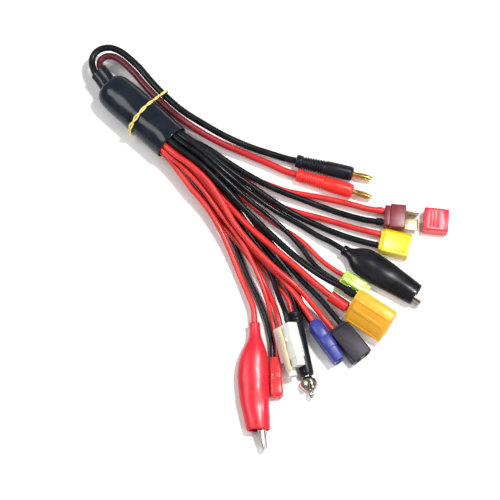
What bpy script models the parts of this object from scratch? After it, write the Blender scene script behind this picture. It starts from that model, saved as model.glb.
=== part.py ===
"""Multi-connector charging lead for radio-control batteries.

A two-wire input with banana plugs enters one end of a hub sleeve. Inside the
sleeve it is spliced to a fan of red and black wires, each pair ending in a
different kind of battery connector. Units are metres, +Z is up, +X runs along
the hub towards the connectors, and the lead lies on the floor plane z = 0.
"""
import math

import bmesh
import bpy
import numpy as np
from mathutils import Matrix, Vector

MM = 0.001
GAP = 0.3                     # clearance between neighbouring solids, mm
BOOLEAN_REACH = 1.0           # how far a cutter passes a face that it opens, mm

# hub, mm
HUB_Z = 11.95                 # height of the hub's axis
HUB_HALF_WIDTH = 12.0
HUB_HALF_HEIGHT = 10.0
HUB_WALL = 1.0
HUB_REAR = -26.0
HUB_MOUTH = 29.0
SPLICE_FRONT = 2.0
SPLICE_REAR = -13.0
SPLICE_OFFSET = 2.9           # distance of a splice barrel from the hub's axis
HUB_CENTRE = (-4.0, 4.55)     # middle of the box round hub, neck and band
BAND_X = 4.8
BAND_RADIUS = 0.8

# neck, mm
NECK_PITCH = 4.6              # distance between the two input wires
NECK_END = (-37.0, 2.6)
NECK_START = (-24.2, 0.2)

SUPPLY_WIRE = 4.2
COLOURS = {
    "sleeve_black": ((0.018, 0.022, 0.030), 0.22, 0.0),
    "rubber_yellow": ((0.75, 0.58, 0.12), 0.45, 0.0),
    "wire_red": ((0.66, 0.035, 0.030), 0.38, 0.0),
    "wire_black": ((0.012, 0.013, 0.015), 0.35, 0.0),
    "supply_red": ((0.30, 0.018, 0.030), 0.38, 0.0),
    "plug_black": ((0.015, 0.017, 0.022), 0.45, 0.0),
    "plug_red": ((0.80, 0.030, 0.030), 0.42, 0.0),
    "plug_maroon": ((0.17, 0.022, 0.040), 0.42, 0.0),
    "cap_red": ((0.80, 0.055, 0.075), 0.45, 0.0),
    "plug_yellow": ((0.86, 0.66, 0.035), 0.42, 0.0),
    "plug_amber": ((0.90, 0.42, 0.040), 0.42, 0.0),
    "plug_blue": ((0.030, 0.040, 0.26), 0.42, 0.0),
    "plug_lime": ((0.50, 0.72, 0.10), 0.40, 0.0),
    "plug_ivory": ((0.80, 0.76, 0.64), 0.42, 0.0),
    "boot_red": ((0.70, 0.020, 0.040), 0.30, 0.0),
    "boot_black": ((0.016, 0.018, 0.024), 0.30, 0.0),
    "gold": ((0.72, 0.50, 0.20), 0.28, 1.0),
    "brass": ((0.62, 0.50, 0.28), 0.32, 1.0),
    "nickel": ((0.55, 0.53, 0.49), 0.30, 1.0),
    "tinned_copper": ((0.60, 0.50, 0.42), 0.40, 1.0),
}

# rear-face centre of each plug (x, y, z, mm), then yaw, pitch and roll in degrees
PLACES = {
    "black_banana": (89.9, 45.3, 4.6, 29.4, 0.0, 0.0),
    "red_banana": (96.3, 39.0, 4.6, 25.5, 0.0, 0.0),
    "tee_plug": (152.9, 55.6, 4.4, 38.0, 0.0, 0.0),
    "small_yellow": (160.8, 42.9, 4.1, 29.6, 0.0, 0.0),
    "black_clip": (148.9, 22.8, 5.6, 10.0, 0.0, 0.0),
    "lime_plug": (160.2, 9.1, 3.3, 10.5, 0.0, 0.0),
    "large_yellow": (176.0, 0.9, 11.9, 9.1, 0.0, 53.0),
    "black_plug": (178.5, -14.6, 4.7, -8.6, 0.0, 0.0),
    "blue_plug": (166.9, -22.95, 6.5, -13.4, 0.0, 90.0),
    "igniter": (154.3, -25.5, 4.4, -35.6, 0.0, 0.0),
    "latch_plug": (156.7, -36.5, 10.4, -33.4, 0.0, 50.0),
    "small_red": (164.6, -52.9, 3.2, -44.0, 0.0, 0.0),
    "red_clip": (141.9, -46.3, 5.6, -44.5, 0.0, 0.0),
}


def placement(plug):
    """Matrix of a plug's own frame: +X towards its mating end, metres."""
    x, y, z, yaw, pitch, roll = PLACES[plug]
    turn = (Matrix.Rotation(math.radians(yaw), 4, "Z")
            @ Matrix.Rotation(math.radians(-pitch), 4, "Y")
            @ Matrix.Rotation(math.radians(roll), 4, "X"))
    return Matrix.Translation(Vector((x, y, z)) * MM) @ turn


# ------------------------------------------------------------ wires

# name: diameter, colour, slot (ring, angle), route points, plug, entry (y, z) on it
WIRES = {
    "tee_red_wire": (3.8, "wire_red", (2, 321), [
        (46, 8, 4.5), (62, 12.5, 3), (80, 20, 2.5), (99, 27.5, 2.8), (116, 38, 3.6),
        (134, 48, 4.6)], "tee_plug", (3.6, 0.0)),
    "tee_black_wire": (3.8, "wire_black", (2, 349), [
        (45, 12, 11), (60, 14.5, 9.5), (78, 18.3, 7.5), (94, 23, 6.3), (109, 29.3, 5),
        (124, 35.6, 3.8), (138, 42, 4)], "tee_plug", (-3.6, 0.0)),
    "small_yellow_red_wire": (3.8, "wire_red", (2, 293), [
        (49, 4, 3), (65, 8, 2.3), (85, 12, 2.3), (107, 19, 2.5), (128, 30, 3),
        (144, 37.8, 3.8)], "small_yellow", (3.6, 0.0)),
    "small_yellow_black_wire": (3.8, "wire_black", (2, 17), [
        (45, 9.5, 14), (63, 11, 11.5), (83, 14, 8), (101, 17, 5.5), (120, 22, 3.5),
        (139, 28.4, 3.2)], "small_yellow", (-3.6, 0.0)),
    "black_clip_wire": (3.4, "wire_black", (2, 44), [
        (46, 7, 17), (65, 7.8, 14.5), (85, 10, 9), (104, 13.5, 4.6), (119, 17, 3.6),
        (133, 19.4, 4.2)],
        "black_clip", (0.0, 0.0)),
    "lime_black_wire": (3.0, "wire_black", (2, 72), [
        (46, 3.7, 18.5), (67, 4.2, 16), (87, 5.5, 11), (105, 8, 6), (124, 8.2, 3.5),
        (143, 4.8, 3.2)], "lime_plug", (-2.6, 0.0)),
    "lime_red_wire": (3.0, "wire_red", (1, 245), [
        (49, 1, 7), (66, 4, 5.5), (87, 6, 3), (106, 7, 2.4), (126, 10.2, 2.6), (143, 9.5, 3.2)],
        "lime_plug", (2.6, 0.0)),
    "large_yellow_black_wire": (4.0, "wire_black", (2, 100), [
        (48, 0, 18), (68, 0.4, 15), (91, -0.6, 11), (112, -1, 9), (135, -1, 9), (152, 0, 13)],
        "large_yellow", (5.5, 0.0)),
    "large_yellow_red_wire": (4.0, "wire_red", (0, 0), [
        (52, 1, 12), (71, -1, 9), (90, -4, 8), (110, -5, 8), (132, -4.5, 8), (152, -4.5, 8)],
        "large_yellow", (-5.5, 0.0)),
    "black_plug_black_wire": (3.4, "wire_black", (1, 5), [
        (51, 4.5, 11), (72, 2, 10), (96, -2, 7.5), (120, -5, 5), (143, -8, 4), (160, -9, 4.6)],
        "black_plug", (2.9, 0.0)),
    "black_plug_red_wire": (3.4, "wire_red", (2, 127), [
        (48, -3.6, 17), (64, -3.9, 15.5), (79, -7.5, 14.3), (93, -12, 13.5), (113, -15, 12),
        (133, -16, 11), (152, -15.2, 8.5)], "black_plug", (-2.9, 0.0)),
    "blue_black_wire": (3.6, "wire_black", (1, 65), [
        (49, 2, 13), (71, 0, 7), (95, -5, 4), (117, -9, 2.8), (136, -12, 3)],
        "blue_plug", (-3.2, 0.0)),
    "blue_red_wire": (3.6, "wire_red", (1, 125), [
        (50, -2, 13), (70, -5, 10.5), (89, -10, 8), (108, -14, 7), (126, -15.5, 7),
        (144, -16.5, 8.6)], "blue_plug", (3.2, 0.0)),
    "igniter_black_wire": (3.0, "wire_black", (1, 305), [
        (52, 0, 7), (72, -5, 4), (93, -10, 2.2), (114, -12.5, 2.2), (133, -15, 3)],
        "igniter", (1.7, 0.0)),
    "igniter_red_wire": (3.0, "wire_red", (1, 185), [
        (48, -5, 10), (66, -7.5, 8.5), (86, -11, 4.5), (107, -15, 2.4), (126, -17.6, 2.6)],
        "igniter", (-1.7, 0.0)),
    "latch_red_wire": (3.2, "wire_red", (2, 210), [
        (46, -9.3, 6.3), (62, -10.8, 5.5), (84, -13.6, 4.5), (105, -17, 4.5), (123, -22, 4),
        (138, -28.5, 4)], "latch_plug", (-3.3, 0.0)),
    "latch_black_wire": (3.2, "wire_black", (2, 266), [
        (50, -1, 3.5), (70, -5, 2.6), (95, -11, 4.5), (114, -14, 5), (128, -18, 5),
        (141, -25, 7.5)], "latch_plug", (3.3, 0.0)),
    "small_red_red_wire": (2.8, "wire_red", (2, 155), [
        (45, -7.4, 14), (62, -8.5, 12.5), (83, -12, 10), (100, -14.5, 9.5), (123, -23, 8.5),
        (137, -29.5, 6.5), (150, -38, 3)], "small_red", (1.5, 0.0)),
    "small_red_black_wire": (2.8, "wire_black", (2, 238), [
        (47, -5, 3), (66, -8.5, 2.4), (83, -13, 2), (98, -18, 2), (117, -27, 2.2),
        (135, -34.5, 2.2), (148, -41.5, 2.2)], "small_red", (-1.5, 0.0)),
    "red_clip_wire": (3.6, "wire_red", (2, 183), [
        (43, -9.8, 10.5), (56, -12.2, 9.5), (69, -13.6, 8.3), (82, -16.2, 7), (97, -22, 5.2),
        (115, -30.5, 4.2)], "red_clip", (0.0, 0.0)),
}

SUPPLY = {
    "supply_black_wire": ("wire_black", [
        (-43.2, 3.4, 11.6), (-46.6, 7.8, 12), (-46.4, 13, 12.6), (-43, 18, 13),
        (-36.5, 20.9, 13), (-22, 21.7, 12),
        (-8, 19.9, 12), (5, 18.9, 12), (18, 19.2, 11.6), (32, 22, 10.2), (49, 26.5, 8),
        (64, 32.3, 6), (76, 38, 5.2)], "black_banana", 1),
    "supply_red_wire": ("supply_red", [
        (-40.4, 7.2, 11.2), (-41.4, 10.4, 11.6), (-39.4, 14.1, 12.2), (-34.5, 16.7, 12.3),
        (-22, 17.2, 11.6),
        (-8, 15.4, 12), (5, 14.5, 12), (18, 14.8, 11.3), (32, 17, 9.2), (48, 21.2, 7),
        (64, 27, 5.5), (80, 32.7, 5)], "red_banana", -1),
}

SLOT_RING = (0.0, 0.5, 1.0)   # slot rings as parts of the outermost one
WIRE_STEP = 2.6               # distance between points along a wire, in diameters
GUIDE = 7.0                   # straight run of a wire behind its plug, mm
STRAIGHT = 4.0                # straight run of a wire past the hub's mouth, mm
SETTLE_ROUNDS = 260
SETTLE_CLEAR = 0.35           # clearance that settling keeps between wires, mm


def slot_positions():
    """Places (y, z) of the wires in the hub's mouth, spread until none overlap."""
    names = list(WIRES)
    radius = np.array([WIRES[n][0] / 2 for n in names])
    reach = np.array([HUB_HALF_WIDTH, HUB_HALF_HEIGHT]) - HUB_WALL - GAP - 0.2
    spot = []
    for name in names:
        ring, angle = WIRES[name][2]
        turn = math.radians(angle)
        spot.append(SLOT_RING[ring] * (reach - 1.9) * (math.cos(turn), math.sin(turn)))
    spot = np.array(spot)
    for _ in range(400):
        apart = spot[:, None] - spot[None]
        dist = np.linalg.norm(apart, axis=2) + np.eye(len(names))
        want = radius[:, None] + radius[None] + SETTLE_CLEAR
        push = np.clip(want - dist, 0, None) * (1 - np.eye(len(names)))
        spot = spot + 0.25 * (apart / dist[..., None] * push[..., None]).sum(axis=1)
        size = np.linalg.norm(spot / (reach - radius[:, None]), axis=1)
        spot = spot / np.clip(size, 1, None)[:, None]
    return dict(zip(names, spot))


def smooth_route(points, step):
    """Read a centripetal Catmull-Rom curve through the points every step mm."""
    pts = np.array(points, float)
    pts = np.vstack([2 * pts[0] - pts[1], pts, 2 * pts[-1] - pts[-2]])
    fine = []
    for a, b, c, d in zip(pts, pts[1:], pts[2:], pts[3:]):
        t1 = np.linalg.norm(b - a) ** 0.5
        t2 = t1 + np.linalg.norm(c - b) ** 0.5
        t3 = t2 + np.linalg.norm(d - c) ** 0.5
        t = np.linspace(t1, t2, 12, endpoint=False)[:, None]
        ab = (t1 - t) / t1 * a + t / t1 * b
        bc = (t2 - t) / (t2 - t1) * b + (t - t1) / (t2 - t1) * c
        cd = (t3 - t) / (t3 - t2) * c + (t - t2) / (t3 - t2) * d
        abc = (t2 - t) / t2 * ab + t / t2 * bc
        bcd = (t3 - t) / (t3 - t1) * bc + (t - t1) / (t3 - t1) * cd
        fine.extend((t2 - t) / (t2 - t1) * abc + (t - t1) / (t2 - t1) * bcd)
    fine = np.vstack([fine, pts[-2]])
    run = np.concatenate([[0], np.cumsum(np.linalg.norm(np.diff(fine, axis=0), axis=1))])
    count = max(3, round(run[-1] / step) + 1)
    at = np.linspace(0, run[-1], count)
    return np.column_stack([np.interp(at, run, fine[:, k]) for k in range(3)])


def entry_points(plug, offset):
    """The last two points of a wire: straight in to the plug's rear face."""
    frame = placement(plug)
    y, z = offset
    ends = []
    for back in (GUIDE, GAP):
        ends.append(np.array(frame @ Vector((-back * MM, y * MM, z * MM))) / MM)
    return ends


def wire_routes():
    """Each wire's first smooth route, its radius and which of its points may move."""
    routes = {}
    slots = slot_positions()
    for name, (thick, _, _, points, plug, offset) in WIRES.items():
        y, z = slots[name]
        start = [(SPLICE_FRONT + GAP, y, z + HUB_Z), (HUB_MOUTH - 9, y, z + HUB_Z),
                 (HUB_MOUTH + STRAIGHT, y, z + HUB_Z)]
        line = smooth_route(start + points + entry_points(plug, offset), WIRE_STEP * thick)
        free = line[:, 0] > HUB_MOUTH + STRAIGHT + 1
        free[-2:] = False
        routes[name] = [line, thick / 2, free, plug]
    for name, (_, points, plug, side) in SUPPLY.items():
        twist = [(SPLICE_REAR - 0.9, 45), (-16.5, 45), (-19, 80), (-21.5, 135), (-24, 180)]
        half = NECK_PITCH / 2
        start = []
        for x, angle in twist:
            turn = math.radians(angle)
            grow = SPLICE_OFFSET if x > -22 else half + 0.1
            start.append((x, side * grow * math.cos(turn), HUB_Z + side * grow * math.sin(turn)))
        start.append((-30, 1.4 - side * half, HUB_Z))
        start.append((-36.5, 2.5 - side * half, HUB_Z))
        line = smooth_route(start + points + entry_points(plug, (0, 0)), SUPPLY_WIRE * 1.1)
        free = np.arange(len(line)) > 9
        free[-2:] = False
        routes[name] = [line, SUPPLY_WIRE / 2, free, plug]
    return routes


# capsules that keep other wires off each plug: (x0, x1, y, z, radius) in its own frame
BODIES = {
    "black_banana": [(0, 48, 0, 0, 4.5)],
    "red_banana": [(0, 48, 0, 0, 4.5)],
    "tee_plug": [(3, 11, -3.6, 0, 4.2), (3, 11, 3.6, 0, 4.2)],
    "small_yellow": [(3, 14, -3.9, 0, 4.2), (3, 14, 3.9, 0, 4.2)],
    "black_clip": [(3, 6, 0, 0, 4.4), (12, 40, -3, 0, 6.0), (12, 40, 3, 0, 6.0)],
    "lime_plug": [(3, 16, -2.6, 0, 3.4), (3, 16, 2.6, 0, 3.4)],
    "large_yellow": [(4, 20, -5.4, 0, 5.4), (4, 20, 5.4, 0, 5.4)],
    "black_plug": [(4, 18, -2.4, 0, 4.6), (4, 18, 2.4, 0, 4.6)],
    "blue_plug": [(4, 22, -2.6, 0, 4.2), (4, 22, 2.6, 0, 4.2)],
    "igniter": [(1, 34, 0, 0, 4.4)],
    "latch_plug": [(3, 18, -3.4, 0, 3.7), (3, 18, 3.4, 0, 3.7)],
    "small_red": [(2, 22, -0.8, 0, 3.3), (2, 22, 0.8, 0, 3.3)],
    "red_clip": [(3, 12, 0, 0, 4.2), (23, 52, -5, 0, 6.0), (23, 52, 1, 0, 6.0)],
}


def closest_pairs(a0, a1, b0, b1):
    """Closest points of segment pairs, as parts (s, t) of the way along each."""
    u, v, w = a1 - a0, b1 - b0, a0 - b0
    uu = (u * u).sum(-1) + 1e-9
    vv = (v * v).sum(-1) + 1e-9
    uv = (u * v).sum(-1)
    uw = (u * w).sum(-1)
    vw = (v * w).sum(-1)
    denom = uu * vv - uv * uv
    s = np.where(denom > 1e-6, (uv * vw - vv * uw) / np.maximum(denom, 1e-6), 0.5)
    s = np.clip(s, 0, 1)
    t = np.clip((uv * s + vw) / vv, 0, 1)
    s = np.clip((uv * t - uw) / uu, 0, 1)
    return s, t


def settle(routes):
    """Move the free points until no wire meets another wire, a plug, the hub or the floor."""
    names = list(routes)
    pos = np.vstack([routes[n][0] for n in names])
    free = np.concatenate([routes[n][2] for n in names])
    floor = np.concatenate([np.full(len(routes[n][0]), routes[n][1]) for n in names])
    first, radius, owner, plug = [], [], [], []
    base = 0
    inner = np.zeros(len(pos), bool)
    outside = np.zeros(len(pos), bool)
    for k, name in enumerate(names):
        line, thick, loose, on = routes[name]
        first.extend(range(base, base + len(line) - 1))
        radius.extend([thick] * (len(line) - 1))
        owner.extend([k] * (len(line) - 1))
        plug.extend([on] * (len(line) - 1))
        inner[base + 1:base + len(line) - 1] = True
        outside[base:base + len(line)] = loose & (name in SUPPLY)
        base += len(line)
    solid = []
    for on, shapes in BODIES.items():
        frame = placement(on)
        for x0, x1, y, z, r in shapes:
            ends = [np.array(frame @ Vector((x * MM, y * MM, z * MM))) / MM for x in (x0, x1)]
            solid.append((ends, r, on))
    wire_count = len(first)
    extra = len(pos)
    pos = np.vstack([pos] + [np.array(ends) for ends, _, _ in solid])
    free = np.concatenate([free, np.zeros(2 * len(solid), bool)])
    for k, (_, r, on) in enumerate(solid):
        first.append(extra + 2 * k)
        radius.append(r)
        owner.append(1000 + k)
        plug.append(on)
    first, radius, owner, plug = (np.array(v) for v in (first, radius, owner, plug))
    home = pos.copy()
    rows, cols = np.triu_indices(len(first), 1)
    keep = (owner[rows] != owner[cols]) & (rows < wire_count)
    keep &= ~((cols >= wire_count) & (plug[rows] == plug[cols]))
    rows, cols = rows[keep], cols[keep]
    move = free[:, None].astype(float)
    for turn in range(SETTLE_ROUNDS):
        if turn % 10 == 0:
            middle = (pos[first] + pos[first + 1]) / 2
            half = np.linalg.norm(pos[first + 1] - pos[first], axis=1) / 2
            span = half[rows] + half[cols] + radius[rows] + radius[cols] + 3
            near = np.linalg.norm(middle[rows] - middle[cols], axis=1) < span
            i, j = rows[near], cols[near]
        s, t = closest_pairs(pos[first[i]], pos[first[i] + 1], pos[first[j]], pos[first[j] + 1])
        pa = pos[first[i]] + s[:, None] * (pos[first[i] + 1] - pos[first[i]])
        pb = pos[first[j]] + t[:, None] * (pos[first[j] + 1] - pos[first[j]])
        gap = pa - pb
        dist = np.linalg.norm(gap, axis=1) + 1e-6
        deep = np.clip(radius[i] + radius[j] + SETTLE_CLEAR - dist, 0, None)
        push = gap / dist[:, None] * (0.5 * deep)[:, None]
        shift = np.zeros_like(pos)
        for node, sign, part in ((first[i], 1, 1 - s), (first[i] + 1, 1, s),
                                 (first[j], -1, 1 - t), (first[j] + 1, -1, t)):
            np.add.at(shift, node, sign * part[:, None] * push)
        pos = pos + 0.8 * shift * move
        if turn < SETTLE_ROUNDS - 60:
            even = np.zeros_like(pos)
            idx = np.flatnonzero(inner)
            even[idx] = (pos[idx - 1] + pos[idx + 1]) / 2 - pos[idx]
            bend = np.zeros_like(pos)
            bend[idx] = (home[idx - 1] + home[idx + 1]) / 2 - home[idx]
            pos = pos + (0.3 * (even - bend) + 0.01 * (home - pos)) * move
        y = pos[:extra, 1]
        z = pos[:extra, 2] - HUB_Z
        wide = HUB_HALF_WIDTH + SUPPLY_WIRE / 2 + GAP + 0.1
        tall = HUB_HALF_HEIGHT + SUPPLY_WIRE / 2 + GAP + 0.1
        size = np.sqrt((y / wide) ** 2 + (z / tall) ** 2)
        at_hub = outside & (pos[:extra, 0] > HUB_REAR - 2) & (pos[:extra, 0] < HUB_MOUTH + 2)
        grow = np.where(at_hub & (size < 1), 1 / np.maximum(size, 0.1), 1)
        pos[:extra, 1] = y * grow
        pos[:extra, 2] = HUB_Z + z * grow
        pos[:extra, 2] = np.where(free[:extra], np.maximum(pos[:extra, 2], floor + 0.05),
                                  pos[:extra, 2])
    result = {}
    base = 0
    for name in names:
        count = len(routes[name][0])
        result[name] = pos[base:base + count]
        base += count
    return result


# ------------------------------------------------------------ solids

MADE_MATERIALS = {}


def material(name):
    """The Principled material of one colour."""
    if name not in MADE_MATERIALS:
        colour, rough, metal = COLOURS[name]
        made = bpy.data.materials.new(name)
        made.use_nodes = True
        shader = made.node_tree.nodes["Principled BSDF"]
        shader.inputs["Base Color"].default_value = (*colour, 1.0)
        shader.inputs["Roughness"].default_value = rough
        shader.inputs["Metallic"].default_value = metal
        made.diffuse_color = (*colour, 1.0)
        MADE_MATERIALS[name] = made
    return MADE_MATERIALS[name]


def round_ring(x, half_y, half_z=None, y=0.0, z=0.0, sides=14):
    """An ellipse of points across X."""
    half_z = half_y if half_z is None else half_z
    turns = [2 * math.pi * k / sides for k in range(sides)]
    return [(x, y + half_y * math.cos(t), z + half_z * math.sin(t)) for t in turns]


def box_ring(x, width, height, corner, y=0.0, z=0.0, steps=2):
    """A rectangle with round corners, across X."""
    ring = []
    corner = min(corner, width / 2 - 0.05, height / 2 - 0.05)
    for k, (sy, sz) in enumerate(((1, 1), (-1, 1), (-1, -1), (1, -1))):
        cy = y + sy * (width / 2 - corner)
        cz = z + sz * (height / 2 - corner)
        for step in range(steps + 1):
            turn = math.pi / 2 * (k + step / steps)
            ring.append((x, cy + corner * math.cos(turn), cz + corner * math.sin(turn)))
    return ring


def keyed_ring(x, width, height, key, y=0.0, z=0.0, corner=0.5):
    """A rectangle whose corners on the +Y side are cut back by key, across X."""
    w, h = width / 2, height / 2
    outline = [(w, -h + key), (w, h - key), (w - key, h), (-w + corner, h),
               (-w, h - corner), (-w, -h + corner), (-w + corner, -h), (w - key, -h)]
    return [(x, y + a, z + b) for a, b in outline]


def shell(name, rings, colour, frame, closed=False):
    """One closed body lofted through rings of points (mm) in the frame given."""
    mesh = bpy.data.meshes.new(name)
    bm = bmesh.new()
    rows = [[bm.verts.new(Vector(p) * MM) for p in ring] for ring in rings]
    count = len(rows[0])
    pairs = list(zip(rows, rows[1:]))
    if closed:
        pairs.append((rows[-1], rows[0]))
    else:
        bm.faces.new(rows[0])
        bm.faces.new(rows[-1])
    for near, far in pairs:
        for k in range(count):
            following = (k + 1) % count
            bm.faces.new((near[k], near[following], far[following], far[k]))
    bmesh.ops.recalc_face_normals(bm, faces=bm.faces)
    bm.to_mesh(mesh)
    bm.free()
    mesh.shade_smooth()
    mesh.set_sharp_from_angle(angle=math.radians(35))
    body = bpy.data.objects.new(name, mesh)
    body.matrix_world = frame
    if colour:
        body.data.materials.append(material(colour))
    bpy.context.scene.collection.objects.link(body)
    return body


def set_down():
    """Move the whole lead so that the hub's footprint is centred on the origin."""
    ground = bpy.data.objects.new("lead_origin", None)
    ground.location = (-HUB_CENTRE[0] * MM, -HUB_CENTRE[1] * MM, 0)
    ground.hide_render = True
    bpy.context.scene.collection.objects.link(ground)
    for body in list(bpy.data.objects):
        if body is not ground:
            body.parent = ground


def plate(name, outline, low, high, colour, frame):
    """An outline in X and Y (mm) extruded from z = low to z = high."""
    rings = [[(x, y, z) for x, y in outline] for z in (low, high)]
    return shell(name, rings, colour, frame)


def cut(body, rings):
    """Take the loft through the rings out of the body."""
    cutter = shell(body.name + "_cutter", rings, None, body.matrix_world.copy())
    cutter.hide_render = True
    cutter.display_type = "WIRE"
    boolean = body.modifiers.new("cut", "BOOLEAN")
    boolean.operation = "DIFFERENCE"
    boolean.solver = "EXACT"
    boolean.object = cutter


def join(body, rings):
    """Add the loft through the rings to the body."""
    cut(body, rings)
    body.modifiers[-1].operation = "UNION"


def tube(name, points, radius, colour, cyclic=False):
    """A round cord along the points (mm)."""
    curve = bpy.data.curves.new(name, "CURVE")
    curve.dimensions = "3D"
    curve.bevel_depth = radius * MM
    curve.bevel_resolution = 2
    curve.render_resolution_u = 0
    curve.use_fill_caps = not cyclic
    spline = curve.splines.new("POLY")
    spline.points.add(len(points) - 1)
    for spot, point in zip(spline.points, points):
        spot.co = (*(float(v) * MM for v in point), 1.0)
    spline.use_cyclic_u = cyclic
    cord = bpy.data.objects.new(name, curve)
    cord.data.materials.append(material(colour))
    bpy.context.scene.collection.objects.link(cord)
    return cord


# ------------------------------------------------------------ hub

def make_hub():
    """Sleeve, neck, the two splices and the rubber band round the sleeve."""
    axis = Matrix.Translation((0, 0, HUB_Z * MM))
    sides = 24
    outer = [(HUB_REAR, 0.62), (HUB_REAR + 1.2, 0.80), (HUB_REAR + 4, 0.95),
             (HUB_REAR + 8, 1.0), (HUB_MOUTH - 0.4, 1.0), (HUB_MOUTH, 0.97)]
    rings = []
    for x, part in outer:
        rings.append(round_ring(x, HUB_HALF_WIDTH * part, HUB_HALF_HEIGHT * part, sides=sides))
    in_y, in_z = HUB_HALF_WIDTH - HUB_WALL, HUB_HALF_HEIGHT - HUB_WALL
    for x, part in ((HUB_MOUTH, 1.0), (HUB_REAR + 8, 1.0), (HUB_REAR + 2.4, 0.85)):
        rings.append(round_ring(x, in_y * part, in_z * part, sides=sides))
    rings.append(round_ring(HUB_REAR + 1.6, 7.2, 4.7, y=0.6, sides=sides))
    rings.append(round_ring(HUB_REAR, 7.2, 4.7, y=0.6, sides=sides))
    shell("hub_sleeve", rings, "sleeve_black", axis, closed=True)

    neck = []
    (x0, y0), (x1, y1) = NECK_START, NECK_END
    for size in ((12.0, 7.4), (10.3, 5.7)):
        line = [(x0, y0), (HUB_REAR - 1.5, 0.8), (x1, y1)]
        if neck:
            line.reverse()
        neck.extend(box_ring(x, size[0], size[1], size[1] / 2, y=y, steps=3) for x, y in line)
    shell("neck_sleeve", neck, "sleeve_black", axis, closed=True)

    for name, side in (("negative_splice", 1), ("positive_splice", -1)):
        make_splice(name, side, axis)

    loop = band_outline(BAND_RADIUS + 0.35)
    points = [(BAND_X - 0.06 * y, y, z) for y, z in loop]
    tube("rubber_band", points, BAND_RADIUS, "rubber_yellow", cyclic=True)


def make_splice(name, side, axis):
    """A fused bundle end: a half disc facing the wires, drawn down to a barrel."""
    lean = math.radians(45 if side > 0 else 225)
    reach_y = HUB_HALF_WIDTH - HUB_WALL - 0.6
    reach_z = HUB_HALF_HEIGHT - HUB_WALL - 0.6
    arc = [lean + math.radians(a) for a in range(-88, 89, 22)]
    face = [(reach_y * math.cos(a), reach_z * math.sin(a)) for a in arc]
    gap = (0.35 * math.cos(lean), 0.35 * math.sin(lean))
    face = [(y + gap[0], z + gap[1]) for y, z in face]
    centre = (SPLICE_OFFSET * math.cos(lean), SPLICE_OFFSET * math.sin(lean))
    count = len(face)
    rings = []
    for x, part in ((SPLICE_REAR, 0.0), (-9.0, 0.0), (-3.0, 0.75), (SPLICE_FRONT, 1.0)):
        ring = []
        for k, (y, z) in enumerate(face):
            turn = lean + math.radians(-180 + 360 * (k + 0.5) / count)
            by = centre[0] + 2.5 * math.cos(turn)
            bz = centre[1] + 2.5 * math.sin(turn)
            ring.append((x, by + part * (y * 0.97 - by), bz + part * (z * 0.97 - bz)))
        rings.append(ring)
    shell(name, rings, "tinned_copper", axis)


def band_outline(margin):
    """Convex loop (y, z) round the hub and the two input wires beside it."""
    cloud = []
    for k in range(72):
        turn = 2 * math.pi * k / 72
        c, s = math.cos(turn), math.sin(turn)
        cloud.append(((HUB_HALF_WIDTH + margin) * c, HUB_Z + (HUB_HALF_HEIGHT + margin) * s))
        for y in (14.5, 18.9):
            reach = SUPPLY_WIRE / 2 + margin + 0.1
            cloud.append((y + reach * c, HUB_Z + reach * s))
    spots = sorted(set(cloud))
    hull = []
    for run in (spots, spots[::-1]):
        side = []
        for p in run:
            while len(side) > 1 and turn_of(side[-2], side[-1], p) <= 0:
                side.pop()
            side.append(p)
        hull.extend(side[:-1])
    loop = np.array(hull + hull[:1])
    run = np.concatenate([[0], np.cumsum(np.linalg.norm(np.diff(loop, axis=0), axis=1))])
    at = np.linspace(0, run[-1], 37)[:-1]
    return list(zip(np.interp(at, run, loop[:, 0]), np.interp(at, run, loop[:, 1])))


def turn_of(a, b, c):
    """Positive when a, b, c turn left."""
    return (b[0] - a[0]) * (c[1] - a[1]) - (b[1] - a[1]) * (c[0] - a[0])


# ------------------------------------------------------------ connectors

def make_banana(name, colour, frame):
    """Turned grip with a collar and ribs, and a sprung pin in its front."""
    rings = [round_ring(0, 3.1), round_ring(0.3, 4.1), round_ring(3.6, 4.1), round_ring(4.4, 3.2)]
    for rib in range(6):
        x = 5.6 + 2.0 * rib
        grow = 0.12 * rib
        rings.append(round_ring(x, 3.3 + grow))
        rings.append(round_ring(x + 0.8, 3.9 + grow))
        rings.append(round_ring(x + 1.3, 3.9 + grow))
    rings += [round_ring(18.2, 4.4), round_ring(33.5, 4.5), round_ring(35.4, 3.7)]
    rings += [round_ring(35.6, 2.2), round_ring(32.0, 2.2)]
    shell(name + "_grip", rings, colour, frame)
    pin = [(32.3, 1.6), (36.6, 1.6), (37.6, 1.95), (41.5, 2.05), (45.6, 1.8), (47.4, 1.0)]
    shell(name + "_pin", [round_ring(x, r, sides=12) for x, r in pin], "gold", frame)


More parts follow.
